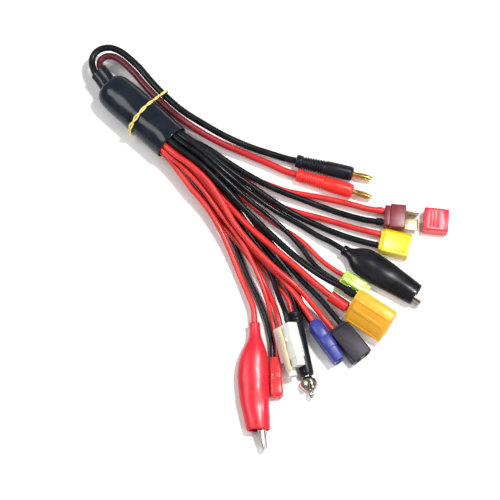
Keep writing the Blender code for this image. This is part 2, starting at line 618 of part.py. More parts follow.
def make_tee_plug():
    """Flat two-blade plug, its blades at right angles, and its slotted cap."""
    frame = placement("tee_plug")
    rings = [box_ring(0, 12.4, 7.4, 0.6), box_ring(3.2, 12.4, 7.4, 0.6),
             box_ring(3.3, 15.0, 8.4, 0.7), box_ring(12.4, 15.0, 8.4, 0.7)]
    body = shell("tee_plug_body", rings, "plug_maroon", frame)
    blades = (("tee_plug_flat_blade", -3.4, 7.2, 1.0), ("tee_plug_upright_blade", 3.6, 1.0, 6.6))
    for name, y, width, height in blades:
        shell(name, [box_ring(x, width, height, 0.3, y=y, steps=1) for x in (9.9, 20.4)],
              "brass", frame)
        cut(body, [box_ring(x, width + 0.6, height + 0.6, 0.3, y=y, steps=1)
                   for x in (9.6, 12.4 + BOOLEAN_REACH)])
    cap_rings = [box_ring(23.5, 13.8, 7.8, 0.8), box_ring(24.1, 14.6, 8.6, 0.9),
                 box_ring(37.6, 14.6, 8.6, 0.9), box_ring(38.2, 14.0, 8.0, 0.8)]
    cap = shell("tee_plug_cap", cap_rings, "cap_red", frame)
    for _, y, width, height in blades:
        cut(cap, [box_ring(x, width + 0.8, height + 0.8, 0.3, y=y, steps=1)
                  for x in (23.5 - BOOLEAN_REACH, 33.5)])


def make_two_pole(name, colour, size, pitch, pin_radius, depth, frame, metal="gold"):
    """Keyed housing with a shroud round two pins."""
    length, width, height, wall, key = size
    rings = [keyed_ring(0, width - 1.6, height - 1.6, key * 0.6),
             keyed_ring(1.0, width, height, key),
             keyed_ring(length, width, height, key),
             keyed_ring(length, width - 2 * wall, height - 2 * wall, key * 0.7),
             keyed_ring(length - depth, width - 2 * wall, height - 2 * wall, key * 0.7)]
    body = shell(name + "_housing", rings, colour, frame)
    back = length - depth
    for side, y in (("left", pitch / 2), ("right", -pitch / 2)):
        pin = [(back - 2, pin_radius), (length - 2.2, pin_radius),
               (length - 1.2, pin_radius * 0.7)]
        shell(f"{name}_{side}_pin", [round_ring(x, r, y=y, sides=12) for x, r in pin],
              metal, frame)
        cut(body, [round_ring(x, pin_radius + GAP, y=y, sides=12)
                   for x in (back - 2 - GAP, back + BOOLEAN_REACH)])


def make_black_plug():
    """Flat housing with a waisted rear and two contact slots."""
    frame = placement("black_plug")
    rings = [box_ring(0, 10.6, 7.0, 1.0), box_ring(2.0, 13.0, 9.0, 0.8),
             box_ring(23.0, 13.0, 9.0, 0.8), box_ring(23.6, 12.4, 8.4, 0.8)]
    body = shell("black_plug_housing", rings, "plug_black", frame)
    for y in (-3.0, 3.0):
        cut(body, [box_ring(x, 3.2, 5.6, 0.3, y=y, steps=1) for x in (13, 24 + BOOLEAN_REACH)])


def make_blue_plug():
    """Housing with two round bays, each holding a bullet contact."""
    frame = placement("blue_plug")
    rings = [box_ring(0, 10.6, 6.4, 1.4), box_ring(2.5, 12.6, 7.8, 1.6),
             box_ring(19.0, 12.6, 7.8, 1.6), box_ring(19.6, 11.6, 7.0, 1.6),
             box_ring(27.5, 11.6, 7.0, 1.6)]
    body = shell("blue_plug_housing", rings, "plug_blue", frame)
    for side, y in (("left", 2.9), ("right", -2.9)):
        cut(body, [round_ring(x, 2.35, y=y, sides=12) for x in (18, 27.5 + BOOLEAN_REACH)])
        cut(body, [round_ring(x, 1.75 + GAP, y=y, sides=12) for x in (15.7, 18.5)])
        pin = [(16.0, 1.75), (24.4, 1.75), (25.6, 1.2)]
        shell(f"blue_plug_{side}_bullet", [round_ring(x, r, y=y, sides=12) for x, r in pin],
              "gold", frame)


def make_latched(name, colour, size, frame):
    """Two-way housing with a square and a round nose, and a rocking latch on top."""
    length, width, height, nose = size
    pitch = width / 2
    body = shell(name + "_housing", [box_ring(0, width - 0.8, height - 0.8, 0.6),
                                     box_ring(0.6, width, height, 0.7),
                                     box_ring(length, width, height, 0.7)], colour, frame)
    mid = width / 2 - pitch / 2
    reach = height - 1.2
    join(body, [box_ring(x, reach, reach, 0.5, y=mid) for x in (length - 1.5, length + nose * 0.55)])
    join(body, [round_ring(x, reach / 2, y=-mid, sides=12) for x in (length - 1.5, length + nose)])
    for y, end in ((mid, length + nose * 0.55), (-mid, length + nose)):
        cut(body, [round_ring(x, reach / 2 - 1.0, y=y, sides=10)
                   for x in (length - 3, end + BOOLEAN_REACH)])
    top = height / 2
    pivot = length * 0.45
    for y in (-2.4, 2.4):
        join(body, [box_ring(x, 1.2, 1.6, 0.2, y=y, z=top + 0.4, steps=1)
                    for x in (pivot - 1, pivot + 1)])
    low = top + GAP
    end = length + nose * 0.7
    outline = [(1.5, low + 1.5), (pivot - 1.2, low + 0.5), (pivot, low), (pivot + 1.2, low + 0.5),
               (end - 2.2, low + 0.5), (end - 1.8, low - 0.5), (end - 0.6, low - 0.5), (end, low + 0.7),
               (end, low + 1.6), (pivot, low + 1.9), (1.5, low + 2.5)]
    rings = [[(x, y, z) for x, z in outline] for y in (-1.5, 1.5)]
    shell(name + "_latch", rings, colour, frame)


def make_small_red():
    """Slim two-way housing with a rounded nose and two small contact holes."""
    frame = placement("small_red")
    rings = [box_ring(0, 5.4, 4.6, 0.8), box_ring(4.0, 6.8, 5.8, 0.9),
             box_ring(21.5, 7.4, 6.0, 1.2), box_ring(23.8, 6.0, 5.0, 1.6)]
    body = shell("small_red_housing", rings, "plug_red", frame)
    for y in (-1.5, 1.5):
        cut(body, [box_ring(x, 1.5, 1.5, 0.2, y=y, steps=1) for x in (15, 24 + BOOLEAN_REACH)])


def make_igniter():
    """Round grip with a ribbed collar, a slotted metal socket and a sprung contact."""
    frame = placement("igniter")
    rings = [round_ring(0, 3.4), round_ring(0.6, 4.4), round_ring(2.0, 4.4), round_ring(2.4, 3.9),
             round_ring(3.4, 3.9), round_ring(3.8, 4.4), round_ring(5.6, 4.4), round_ring(6.2, 3.8),
             round_ring(7.4, 3.9), round_ring(38.0, 4.1), round_ring(38.8, 3.5),
             round_ring(38.8, 2.8), round_ring(30.0, 2.8)]
    shell("igniter_grip", rings, "plug_black", frame)
    socket = [(30.3, 2.4, 2.4), (40.0, 2.4, 2.4), (41.4, 4.3, 3.8), (43.4, 5.2, 4.2),
              (45.6, 5.0, 4.1), (47.0, 4.0, 3.6), (47.0, 3.2, 3.0), (41.8, 3.4, 3.0),
              (40.6, 1.7, 1.7), (33.0, 1.7, 1.7)]
    rings = [round_ring(*station) for station in socket]
    body = shell("igniter_socket", rings, "nickel", frame)
    cut(body, [box_ring(x, 2.0, 9.0, 0.2, steps=1) for x in (42.2, 48)])
    cut(body, [box_ring(x, 12.0, 1.2, 0.2, steps=1) for x in (42.2, 48)])
    contact = [(36.4, 1.3), (48.5, 1.3), (50.0, 1.5), (51.6, 1.4), (52.4, 0.8)]
    shell("igniter_contact", [round_ring(x, r, sides=12) for x, r in contact], "nickel", frame)


def make_clip(name, colour, side, lean, cavity, tip):
    """Crocodile clip: soft boot, a fixed jaw along one wall and a moving jaw."""
    frame = placement(name)
    outline = [(0, 6.2, 6.2, 0.0), (cavity * 0.30, 7.0, 6.8, 0.0), (cavity * 0.50, 12.2, 9.0, 0.2),
               (cavity * 0.72, 16.8, 10.4, 0.6), (cavity, 18.2, 11.0, 1.0),
               (cavity + 6, 18.2, 11.0, 1.0), (cavity + 17, 17.0, 10.8, 0.9),
               (cavity + 33, 14.2, 9.8, 0.15), (cavity + 35, 13.8, 9.4, 0.1)]
    rings = []
    for x, width, height, shift in outline:
        rings.append(box_ring(x, width, height, height * 0.42, y=-side * lean * shift, steps=3))
    for x, width, height, shift in reversed(outline[4:]):
        rings.append(box_ring(x, width - 2.4, height - 2.4, height * 0.35,
                              y=-side * lean * shift, steps=3))
    shell(name + "_boot", rings, colour, frame)
    # jaw outlines (x, y), with the bite line at y = 3.4 and the pivot at x = 17
    fixed = [(0, 3.9), (16, 4.4), (35, 4.3), (41, 4.5), (45, 4.1), (45, 3.55), (43.4, 3.55),
             (42.6, 4.0), (41.8, 3.55), (41, 4.0), (40.2, 3.55), (32, 3.55), (28, 4.2),
             (16, 4.1), (0, 3.5)]
    moving = [(0, -5.8), (8, -2.6), (16, -0.4), (24, -1.1), (31, -1.1), (40, 0.9), (45, 2.3),
              (45, 3.25), (44.2, 3.25), (43.4, 2.8), (42.6, 3.25), (41.8, 2.8), (41, 3.25),
              (32, 3.25), (28, 2.6), (22, 2.4), (19, 3.2), (15, 3.2), (12, 1.0), (6, -2.2),
              (1, -4.6)]
    stretch = (tip - cavity) / 45
    for jaw, shape in (("fixed_jaw", fixed), ("moving_jaw", moving)):
        points = [(cavity + 0.8 + stretch * x, side * y) for x, y in shape]
        plate(f"{name}_{jaw}", points, -2.4, 2.4, "nickel", frame)


# ------------------------------------------------------------ assembly

def main():
    for old in list(bpy.data.objects):
        bpy.data.objects.remove(old, do_unlink=True)
    make_hub()
    for name, line in settle(wire_routes()).items():
        thick, colour = WIRES[name][:2] if name in WIRES else (SUPPLY_WIRE, SUPPLY[name][0])
        tube(name, line, thick / 2, colour)
    make_banana("black_banana", "plug_black", placement("black_banana"))
    make_banana("red_banana", "plug_red", placement("red_banana"))
    make_tee_plug()
    make_two_pole("small_yellow", "plug_yellow", (18.2, 15.4, 8.0, 1.2, 2.4), 7.2, 1.75, 8.5,
                  placement("small_yellow"))
    make_two_pole("large_yellow", "plug_amber", (25.6, 20.6, 10.4, 1.3, 3.0), 10.9, 2.2, 11.0,
                  placement("large_yellow"))
    make_black_plug()
    make_blue_plug()
    make_latched("lime_plug", "plug_lime", (15.0, 11.4, 5.8, 5.0), placement("lime_plug"))
    make_latched("latch_plug", "plug_ivory", (21.0, 14.4, 7.0, 9.0), placement("latch_plug"))
    make_small_red()
    make_igniter()
    make_clip("black_clip", "boot_black", -1, 0.3, 16.5, 55.1)
    make_clip("red_clip", "boot_red", 1, 2.0, 29.0, 74.2)
    set_down()


main()
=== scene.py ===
# %% [markdown]
# # A multi-connector charging lead
#
# This is the looks of a lead that fans out from one hub to many different
# battery plugs. The model that is loaded first holds every size and joint.
# Here each part gets its finished surface, one cell at a time.

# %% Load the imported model
import math

import bpy
import numpy as np
from mathutils import Matrix, Vector


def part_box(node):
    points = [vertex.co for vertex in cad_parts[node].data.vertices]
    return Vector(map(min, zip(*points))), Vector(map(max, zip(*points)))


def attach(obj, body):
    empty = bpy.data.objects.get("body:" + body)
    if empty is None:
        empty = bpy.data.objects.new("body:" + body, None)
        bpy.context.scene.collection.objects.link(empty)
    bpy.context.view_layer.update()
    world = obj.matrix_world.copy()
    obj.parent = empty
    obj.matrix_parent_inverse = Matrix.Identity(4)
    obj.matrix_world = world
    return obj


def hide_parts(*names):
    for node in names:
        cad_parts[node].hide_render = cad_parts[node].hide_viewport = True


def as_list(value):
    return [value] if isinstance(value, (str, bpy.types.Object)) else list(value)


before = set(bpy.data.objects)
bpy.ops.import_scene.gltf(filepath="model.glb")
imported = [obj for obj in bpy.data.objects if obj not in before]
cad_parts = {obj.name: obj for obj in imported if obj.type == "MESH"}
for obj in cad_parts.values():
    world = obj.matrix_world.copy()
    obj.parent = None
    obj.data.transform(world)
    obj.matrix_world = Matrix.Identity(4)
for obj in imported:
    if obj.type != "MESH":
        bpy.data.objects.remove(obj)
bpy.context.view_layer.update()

MM = 0.001
QUARTER = math.pi / 2

# %% [markdown]
# ## Camera, floor and light
#
# Product pictures of small leads are taken from nearly overhead with a long
# lens, over a white sweep. A long lens keeps the plugs' sides parallel. The
# camera's three axes are worked out from the direction it looks in, so that
# the lead's hub lies from the upper left towards the middle.

# %% The camera
TARGET = Vector((0.1118, -0.0188, 0.0))
HANG = math.radians(43.5)            # how far the lead is turned in the view
TILT = math.radians(72.0)            # how steeply the camera looks down
DISTANCE = 0.90

ahead = Vector((-math.sin(HANG) * math.cos(TILT), math.cos(HANG) * math.cos(TILT), -math.sin(TILT)))
right = Vector((math.cos(HANG), math.sin(HANG), 0.0))
above = right.cross(ahead)
lens = bpy.data.cameras.new("studio_camera")
lens.lens = 108.0
lens.sensor_width = 36.0
camera = bpy.data.objects.new("studio_camera", lens)
camera.matrix_world = Matrix.Translation(TARGET - ahead * DISTANCE) @ Matrix(
    (right, above, -ahead)).transposed().to_4x4()
bpy.context.scene.collection.objects.link(camera)
bpy.context.scene.camera = camera

# %% Floor and soft light


def let_go():
    """Leave edit mode and deselect everything."""
    if bpy.context.object and bpy.context.object.mode != "OBJECT":
        bpy.ops.object.mode_set(mode="OBJECT")
    bpy.ops.object.select_all(action="DESELECT")


def hold(piece):
    """Make a piece the only one selected, and the active one."""
    let_go()
    piece.select_set(True)
    bpy.context.view_layer.objects.active = piece


FLOOR_SIZE = 6.0                     # metres, past what any view can see

let_go()
bpy.ops.mesh.primitive_plane_add(size=FLOOR_SIZE, location=(0.1, 0.0, 0.0))
floor = bpy.context.object
floor.name = "studio_floor"
paper = bpy.data.materials.new("white_paper")
paper.use_nodes = True
paper.node_tree.nodes["Principled BSDF"].inputs["Base Color"].default_value = (0.97, 0.97, 0.97, 1)
paper.node_tree.nodes["Principled BSDF"].inputs["Roughness"].default_value = 0.9
floor.data.materials.append(paper)


def softbox(name, place, size, power):
    """An area light at a place in camera axes (right, up, towards), aimed at the lead."""
    lamp = bpy.data.lights.new(name, "AREA")
    lamp.size = size
    lamp.energy = power
    lamp_object = bpy.data.objects.new(name, lamp)
    spot = TARGET + right * place[0] + above * place[1] - ahead * place[2]
    lamp_object.matrix_world = (TARGET - spot).to_track_quat("-Z", "Y").to_matrix().to_4x4()
    lamp_object.matrix_world.translation = spot
    bpy.context.scene.collection.objects.link(lamp_object)


softbox("key_light", (0.42, 0.55, 1.00), 0.15, 12.5)
softbox("fill_light", (-0.80, 0.45, 1.00), 0.60, 7.5)
softbox("rim_light", (0.75, -0.35, 0.95), 0.50, 5.0)
sky = bpy.data.worlds.new("studio_sky")
sky.use_nodes = True
sky.node_tree.nodes["Background"].inputs["Color"].default_value = (1.0, 1.0, 1.0, 1)
sky.node_tree.nodes["Background"].inputs["Strength"].default_value = 0.26
bpy.context.scene.world = sky
bpy.context.scene.view_settings.view_transform = "Standard"

# %% [markdown]
# ## Finishes
#
# Every surface here is moulded plastic, rubber or plated metal. Real ones are
# never one flat colour: the dye is a little uneven, the mould leaves a fine
# grain, and the gloss changes where fingers have been. One function makes all
# three from noise on the object's own coordinates, so a pattern stays put on
# its piece when it moves.

# %% A finish from noise


def finish(name, colour, rough, metal=0.0, coat=0.0, uneven=0.10, patch=160.0, grain=2600.0,
           relief=0.10, smear=0.08, soft=0.0, stretch=(1.0, 1.0, 1.0), mirror=0.5, fade=None):
    """A Principled finish with uneven dye, smeared gloss and a fine moulded grain.

    fade is a second colour and the two X between which the first turns into it, metres; it paints shade
    that lifts along X.
    """
    made = bpy.data.materials.new(name)
    made.use_nodes = True
    tree = made.node_tree
    shader = tree.nodes["Principled BSDF"]
    shader.inputs["Metallic"].default_value = metal
    shader.inputs["Coat Weight"].default_value = coat
    shader.inputs["Coat Roughness"].default_value = 0.12
    shader.inputs["Specular IOR Level"].default_value = mirror
    if soft:
        shader.inputs["Subsurface Weight"].default_value = soft
        shader.inputs["Subsurface Scale"].default_value = 0.002
        shader.inputs["Subsurface Radius"].default_value = (1.0, 0.8, 0.6)

    def add(kind, **sockets):
        node = tree.nodes.new(kind)
        for key, value in sockets.items():
            node.inputs[key].default_value = value
        return node

    where = tree.nodes.new("ShaderNodeTexCoord")
    turn = add("ShaderNodeMapping", Scale=stretch)
    tree.links.new(where.outputs["Object"], turn.inputs["Vector"])
    broad = add("ShaderNodeTexNoise", Scale=patch, Detail=4.0, Roughness=0.6)
    fine = add("ShaderNodeTexNoise", Scale=grain, Detail=3.0, Roughness=0.55)
    for noise in (broad, fine):
        tree.links.new(turn.outputs["Vector"], noise.inputs["Vector"])
    dye = tree.nodes.new("ShaderNodeValToRGB")
    low, high = dye.color_ramp.elements
    low.position, high.position = 0.32, 0.68
    low.color = (*(c * (1 - uneven) for c in colour), 1)
    high.color = (*(min(1.0, c * (1 + uneven) + 0.02 * uneven) for c in colour), 1)
    tree.links.new(broad.outputs["Fac"], dye.inputs["Fac"])
    tree.links.new(dye.outputs["Color"], shader.inputs["Base Color"])
    # painted shade: the darker first colour turns into the second between begins and ends
    if fade:
        second, begins, ends = fade
        axes = tree.nodes.new("ShaderNodeSeparateXYZ")
        tree.links.new(where.outputs["Object"], axes.inputs["Vector"])
        along = add("ShaderNodeMapRange", **{"From Min": begins, "From Max": ends})
        tree.links.new(axes.outputs["X"], along.inputs["Value"])
        blend = tree.nodes.new("ShaderNodeMix")
        blend.data_type = "RGBA"
        blend.inputs["B"].default_value = (*second, 1)
        tree.links.new(along.outputs["Result"], blend.inputs["Factor"])
        tree.links.new(dye.outputs["Color"], blend.inputs["A"])
        tree.links.new(blend.outputs["Result"], shader.inputs["Base Color"])
    gloss = add("ShaderNodeMapRange")
    gloss.inputs["To Min"].default_value = max(0.03, rough - smear)
    gloss.inputs["To Max"].default_value = rough + smear
    tree.links.new(broad.outputs["Fac"], gloss.inputs["Value"])
    tree.links.new(gloss.outputs["Result"], shader.inputs["Roughness"])
    bump = add("ShaderNodeBump", Strength=relief, Distance=0.0002)
    tree.links.new(fine.outputs["Fac"], bump.inputs["Height"])
    tree.links.new(bump.outputs["Normal"], shader.inputs["Normal"])
    return made


FINISH = {
    "sleeve": finish("shrunk_sleeve", (0.008, 0.012, 0.020), 0.18, coat=0.08, uneven=0.25,
                     patch=90, relief=0.05, mirror=0.22),
    "red_wire": finish("red_silicone", (0.62, 0.022, 0.018), 0.34, coat=0.10, uneven=0.14,
                       patch=120, relief=0.06, soft=0.08),
    # the input's red wire: painted shade darkens it near the hub and fades out by x = 85 mm
    "supply_red": finish("red_silicone_painted_shade_at_hub", (0.085, 0.006, 0.014), 0.34, coat=0.10, uneven=0.2,
                         patch=60, relief=0.06, mirror=0.35,
                         fade=((0.60, 0.020, 0.024), 0.020, 0.085)),
    "black_wire": finish("black_silicone", (0.004, 0.005, 0.007), 0.28, coat=0.05, uneven=0.3,
                         patch=120, relief=0.06, mirror=0.18),
    "band": finish("natural_rubber", (0.80, 0.66, 0.20), 0.42, uneven=0.18, patch=400, soft=0.15),
    "black_grip": finish("black_moulding", (0.007, 0.008, 0.013), 0.36, uneven=0.25, relief=0.22,
                         mirror=0.22),
    "red_grip": finish("red_moulding", (0.84, 0.028, 0.022), 0.34, uneven=0.10, relief=0.20,
                       soft=0.08),
    "gold": finish("gold_plate", (0.78, 0.50, 0.17), 0.24, metal=1.0, uneven=0.16, patch=500,
                   relief=0.05, smear=0.1),
    "brass": finish("plated_blade", (0.42, 0.33, 0.18), 0.36, metal=1.0, uneven=0.16, patch=500,
                    relief=0.06, smear=0.1),
    "wine": finish("wine_nylon", (0.19, 0.016, 0.030), 0.36, uneven=0.15, relief=0.18, soft=0.06),
    "cap": finish("cap_red", (0.82, 0.035, 0.055), 0.32, uneven=0.10, relief=0.16, soft=0.12),
    "yellow": finish("yellow_nylon", (0.86, 0.60, 0.012), 0.34, uneven=0.07, relief=0.18, soft=0.12),
    "amber": finish("amber_nylon", (0.92, 0.44, 0.030), 0.34, uneven=0.07, relief=0.18, soft=0.12),
    "black_nylon": finish("black_nylon", (0.022, 0.019, 0.030), 0.42, uneven=0.2, relief=0.3, mirror=0.3,
                          stretch=(1.0, 1.0, 4.0)),
    "blue": finish("blue_nylon", (0.030, 0.038, 0.27), 0.36, uneven=0.15, relief=0.2, soft=0.05),
    "lime": finish("lime_nylon", (0.50, 0.68, 0.10), 0.28, coat=0.2, uneven=0.10, soft=0.45),
    "white": finish("white_nylon", (0.74, 0.77, 0.72), 0.28, coat=0.2, uneven=0.05, soft=0.5),
    "ivory": finish("ivory_nylon", (0.83, 0.65, 0.44), 0.30, uneven=0.06, soft=0.4),
    "red_nylon": finish("red_nylon", (0.80, 0.030, 0.035), 0.28, coat=0.2, uneven=0.10, soft=0.1),
    "nickel": finish("nickel_plate", (0.46, 0.43, 0.37), 0.24, metal=1.0, uneven=0.2, patch=600,
                     relief=0.06, smear=0.1),
    "steel": finish("spring_steel", (0.24, 0.20, 0.17), 0.34, metal=1.0, uneven=0.25, patch=700,
                    relief=0.12, smear=0.12),
    "black_boot": finish("black_vinyl", (0.006, 0.006, 0.010), 0.24, coat=0.08, uneven=0.3,
                         patch=90, grain=900, relief=0.05, mirror=0.22),
    "red_boot": finish("red_vinyl", (0.64, 0.016, 0.034), 0.34, coat=0.08, uneven=0.12, patch=90,
                       grain=900, relief=0.05, soft=0.10, mirror=0.3),
    "copper": finish("tinned_copper", (0.62, 0.45, 0.33), 0.35, metal=1.0, uneven=0.2, patch=800,
                     relief=0.2),
    # painted shade: near-black for places where only shade is seen
    "shadow": finish("painted_shade_black", (0.006, 0.006, 0.007), 0.6, uneven=0.3),
}
print("finishes:", len(FINISH))

# %% [markdown]
# ## Where each plug lies
#
# The plugs lie flat on the table where the lead was dropped. Each has its own
# axes: X towards its mating end, Y across, Z up. One matrix per plug takes a
# shape modelled at the origin to its place, so every plug can be modelled
# straight and square, the easy way round.

# %% The plugs' places
LEAD_ORIGIN = Vector((4.0, -4.55, 0.0))

# rear-face centre (x, y, z, mm), then the turn on the table and the roll, degrees
PLACES = {
    "black_banana": (89.9, 45.3, 4.6, 29.4, 0.0),
    "red_banana": (96.3, 39.0, 4.6, 25.5, 0.0),
    "tee_plug": (152.9, 55.6, 4.4, 38.0, 0.0),
    "small_yellow": (160.8, 42.9, 4.1, 29.6, 0.0),
    "black_clip": (148.9, 22.8, 5.6, 10.0, 0.0),
    "lime_plug": (160.2, 9.1, 3.3, 10.5, 0.0),
    "large_yellow": (176.0, 0.9, 11.9, 9.1, 53.0),
    "black_plug": (178.5, -14.6, 4.7, -8.6, 0.0),
    "blue_plug": (166.9, -22.95, 6.5, -13.4, 90.0),
    "igniter": (154.3, -25.5, 4.4, -35.6, 0.0),
    "latch_plug": (156.7, -36.5, 10.4, -33.4, 50.0),
    "small_red": (164.6, -52.9, 3.2, -44.0, 0.0),
    "red_clip": (141.9, -46.3, 5.6, -44.5, 0.0),
}


def place(plug):
    """Matrix from a plug's own frame, in metres, to the lead's."""
    x, y, z, yaw, roll = PLACES[plug]
    turn = Matrix.Rotation(math.radians(yaw), 4, "Z") @ Matrix.Rotation(math.radians(roll), 4, "X")
    return Matrix.Translation((Vector((x, y, z)) + LEAD_ORIGIN) * MM) @ turn


def box_middle(node):
    """Middle of a CAD node's box."""
    low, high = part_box(node)
    return (Vector(low) + Vector(high)) / 2


print("large yellow plug, metres:", [round(v, 4) for v in box_middle("large_yellow_housing")])

# %% [markdown]
# ## The wires
#
# Soft silicone wire takes its curve from how it was bent and dropped. Each
# wire follows a few given points from the hub's mouth to its plug. A
# bundle of twenty such guesses would run through itself, so a short settling
# pass pushes wires apart wherever two come closer than their radii, and keeps
# them off the plugs, the hub and the table. It is the same pass that the
# model's plain wires went through, so each fine wire lies where its plain one
# does.

# %% The wires' routes
HUB_Z = 11.95
HUB_HALF_WIDTH = 12.0
HUB_HALF_HEIGHT = 10.0
HUB_WALL = 1.0
HUB_REAR = -26.0
HUB_MOUTH = 29.0
SPLICE_FRONT = 2.0
SPLICE_REAR = -13.0
SPLICE_OFFSET = 2.9
NECK_PITCH = 4.6
NECK_END = -36.5              # x where the input wires leave the neck, mm
SUPPLY_WIRE = 4.2
GAP = 0.3

# name: diameter, colour, slot (ring, angle), route points, plug, entry (y, z) on it
WIRES = {
    "tee_red_wire": (3.8, "wire_red", (2, 321), [
        (46, 8, 4.5), (62, 12.5, 3), (80, 20, 2.5), (99, 27.5, 2.8), (116, 38, 3.6),
        (134, 48, 4.6)], "tee_plug", (3.6, 0.0)),
    "tee_black_wire": (3.8, "wire_black", (2, 349), [
        (45, 12, 11), (60, 14.5, 9.5), (78, 18.3, 7.5), (94, 23, 6.3), (109, 29.3, 5),
        (124, 35.6, 3.8), (138, 42, 4)], "tee_plug", (-3.6, 0.0)),
    "small_yellow_red_wire": (3.8, "wire_red", (2, 293), [
        (49, 4, 3), (65, 8, 2.3), (85, 12, 2.3), (107, 19, 2.5), (128, 30, 3),
        (144, 37.8, 3.8)], "small_yellow", (3.6, 0.0)),
    "small_yellow_black_wire": (3.8, "wire_black", (2, 17), [
        (45, 9.5, 14), (63, 11, 11.5), (83, 14, 8), (101, 17, 5.5), (120, 22, 3.5),
        (139, 28.4, 3.2)], "small_yellow", (-3.6, 0.0)),
    "black_clip_wire": (3.4, "wire_black", (2, 44), [
        (46, 7, 17), (65, 7.8, 14.5), (85, 10, 9), (104, 13.5, 4.6), (119, 17, 3.6),
        (133, 19.4, 4.2)],
        "black_clip", (0.0, 0.0)),
    "lime_black_wire": (3.0, "wire_black", (2, 72), [
        (46, 3.7, 18.5), (67, 4.2, 16), (87, 5.5, 11), (105, 8, 6), (124, 8.2, 3.5),
        (143, 4.8, 3.2)], "lime_plug", (-2.6, 0.0)),
    "lime_red_wire": (3.0, "wire_red", (1, 245), [
        (49, 1, 7), (66, 4, 5.5), (87, 6, 3), (106, 7, 2.4), (126, 10.2, 2.6), (143, 9.5, 3.2)],
        "lime_plug", (2.6, 0.0)),
    "large_yellow_black_wire": (4.0, "wire_black", (2, 100), [
        (48, 0, 18), (68, 0.4, 15), (91, -0.6, 11), (112, -1, 9), (135, -1, 9), (152, 0, 13)],
        "large_yellow", (5.5, 0.0)),
    "large_yellow_red_wire": (4.0, "wire_red", (0, 0), [
        (52, 1, 12), (71, -1, 9), (90, -4, 8), (110, -5, 8), (132, -4.5, 8), (152, -4.5, 8)],
        "large_yellow", (-5.5, 0.0)),
    "black_plug_black_wire": (3.4, "wire_black", (1, 5), [
        (51, 4.5, 11), (72, 2, 10), (96, -2, 7.5), (120, -5, 5), (143, -8, 4), (160, -9, 4.6)],
        "black_plug", (2.9, 0.0)),
    "black_plug_red_wire": (3.4, "wire_red", (2, 127), [
        (48, -3.6, 17), (64, -3.9, 15.5), (79, -7.5, 14.3), (93, -12, 13.5), (113, -15, 12),
        (133, -16, 11), (152, -15.2, 8.5)], "black_plug", (-2.9, 0.0)),
    "blue_black_wire": (3.6, "wire_black", (1, 65), [
        (49, 2, 13), (71, 0, 7), (95, -5, 4), (117, -9, 2.8), (136, -12, 3)],
        "blue_plug", (-3.2, 0.0)),
    "blue_red_wire": (3.6, "wire_red", (1, 125), [
        (50, -2, 13), (70, -5, 10.5), (89, -10, 8), (108, -14, 7), (126, -15.5, 7),
        (144, -16.5, 8.6)], "blue_plug", (3.2, 0.0)),
    "igniter_black_wire": (3.0, "wire_black", (1, 305), [
        (52, 0, 7), (72, -5, 4), (93, -10, 2.2), (114, -12.5, 2.2), (133, -15, 3)],
        "igniter", (1.7, 0.0)),
    "igniter_red_wire": (3.0, "wire_red", (1, 185), [
        (48, -5, 10), (66, -7.5, 8.5), (86, -11, 4.5), (107, -15, 2.4), (126, -17.6, 2.6)],
        "igniter", (-1.7, 0.0)),
    "latch_red_wire": (3.2, "wire_red", (2, 210), [
        (46, -9.3, 6.3), (62, -10.8, 5.5), (84, -13.6, 4.5), (105, -17, 4.5), (123, -22, 4),
        (138, -28.5, 4)], "latch_plug", (-3.3, 0.0)),
    "latch_black_wire": (3.2, "wire_black", (2, 266), [
        (50, -1, 3.5), (70, -5, 2.6), (95, -11, 4.5), (114, -14, 5), (128, -18, 5),
        (141, -25, 7.5)], "latch_plug", (3.3, 0.0)),
    "small_red_red_wire": (2.8, "wire_red", (2, 155), [
        (45, -7.4, 14), (62, -8.5, 12.5), (83, -12, 10), (100, -14.5, 9.5), (123, -23, 8.5),
        (137, -29.5, 6.5), (150, -38, 3)], "small_red", (1.5, 0.0)),
    "small_red_black_wire": (2.8, "wire_black", (2, 238), [
        (47, -5, 3), (66, -8.5, 2.4), (83, -13, 2), (98, -18, 2), (117, -27, 2.2),
        (135, -34.5, 2.2), (148, -41.5, 2.2)], "small_red", (-1.5, 0.0)),
    "red_clip_wire": (3.6, "wire_red", (2, 183), [
        (43, -9.8, 10.5), (56, -12.2, 9.5), (69, -13.6, 8.3), (82, -16.2, 7), (97, -22, 5.2),
        (115, -30.5, 4.2)], "red_clip", (0.0, 0.0)),
}

SUPPLY = {
    "supply_black_wire": ("wire_black", [
        (-43.2, 3.4, 11.6), (-46.6, 7.8, 12), (-46.4, 13, 12.6), (-43, 18, 13),
        (-36.5, 20.9, 13), (-22, 21.7, 12),
        (-8, 19.9, 12), (5, 18.9, 12), (18, 19.2, 11.6), (32, 22, 10.2), (49, 26.5, 8),
        (64, 32.3, 6), (76, 38, 5.2)], "black_banana", 1),
    "supply_red_wire": ("supply_red", [
        (-40.4, 7.2, 11.2), (-41.4, 10.4, 11.6), (-39.4, 14.1, 12.2), (-34.5, 16.7, 12.3),
        (-22, 17.2, 11.6),
        (-8, 15.4, 12), (5, 14.5, 12), (18, 14.8, 11.3), (32, 17, 9.2), (48, 21.2, 7),
        (64, 27, 5.5), (80, 32.7, 5)], "red_banana", -1),
}

SLOT_RING = (0.0, 0.5, 1.0)   # slot rings as parts of the outermost one
WIRE_STEP = 2.6               # distance between points along a wire, in diameters
SUPPLY_STEP = 1.1             # the same for the input wires
GUIDE = 7.0                   # straight run of a wire behind its plug, mm
STRAIGHT = 4.0                # straight run of a wire past the hub's mouth, mm
SETTLE_ROUNDS = 260
SETTLE_CLEAR = 0.35           # clearance that settling keeps between wires, mm
SUPPLY_HELD = 9               # last of an input wire's points that the splice and neck hold

# %% [markdown]
# In the hub's mouth the wires pack like pencils in a cup. Each starts on one of
# three rings, and is pushed from its neighbours until none overlap.

# %% Places in the mouth
SLOT_ROUNDS = 400
SLOT_INSET = 1.9                     # from the outermost ring to the sleeve's wall, mm


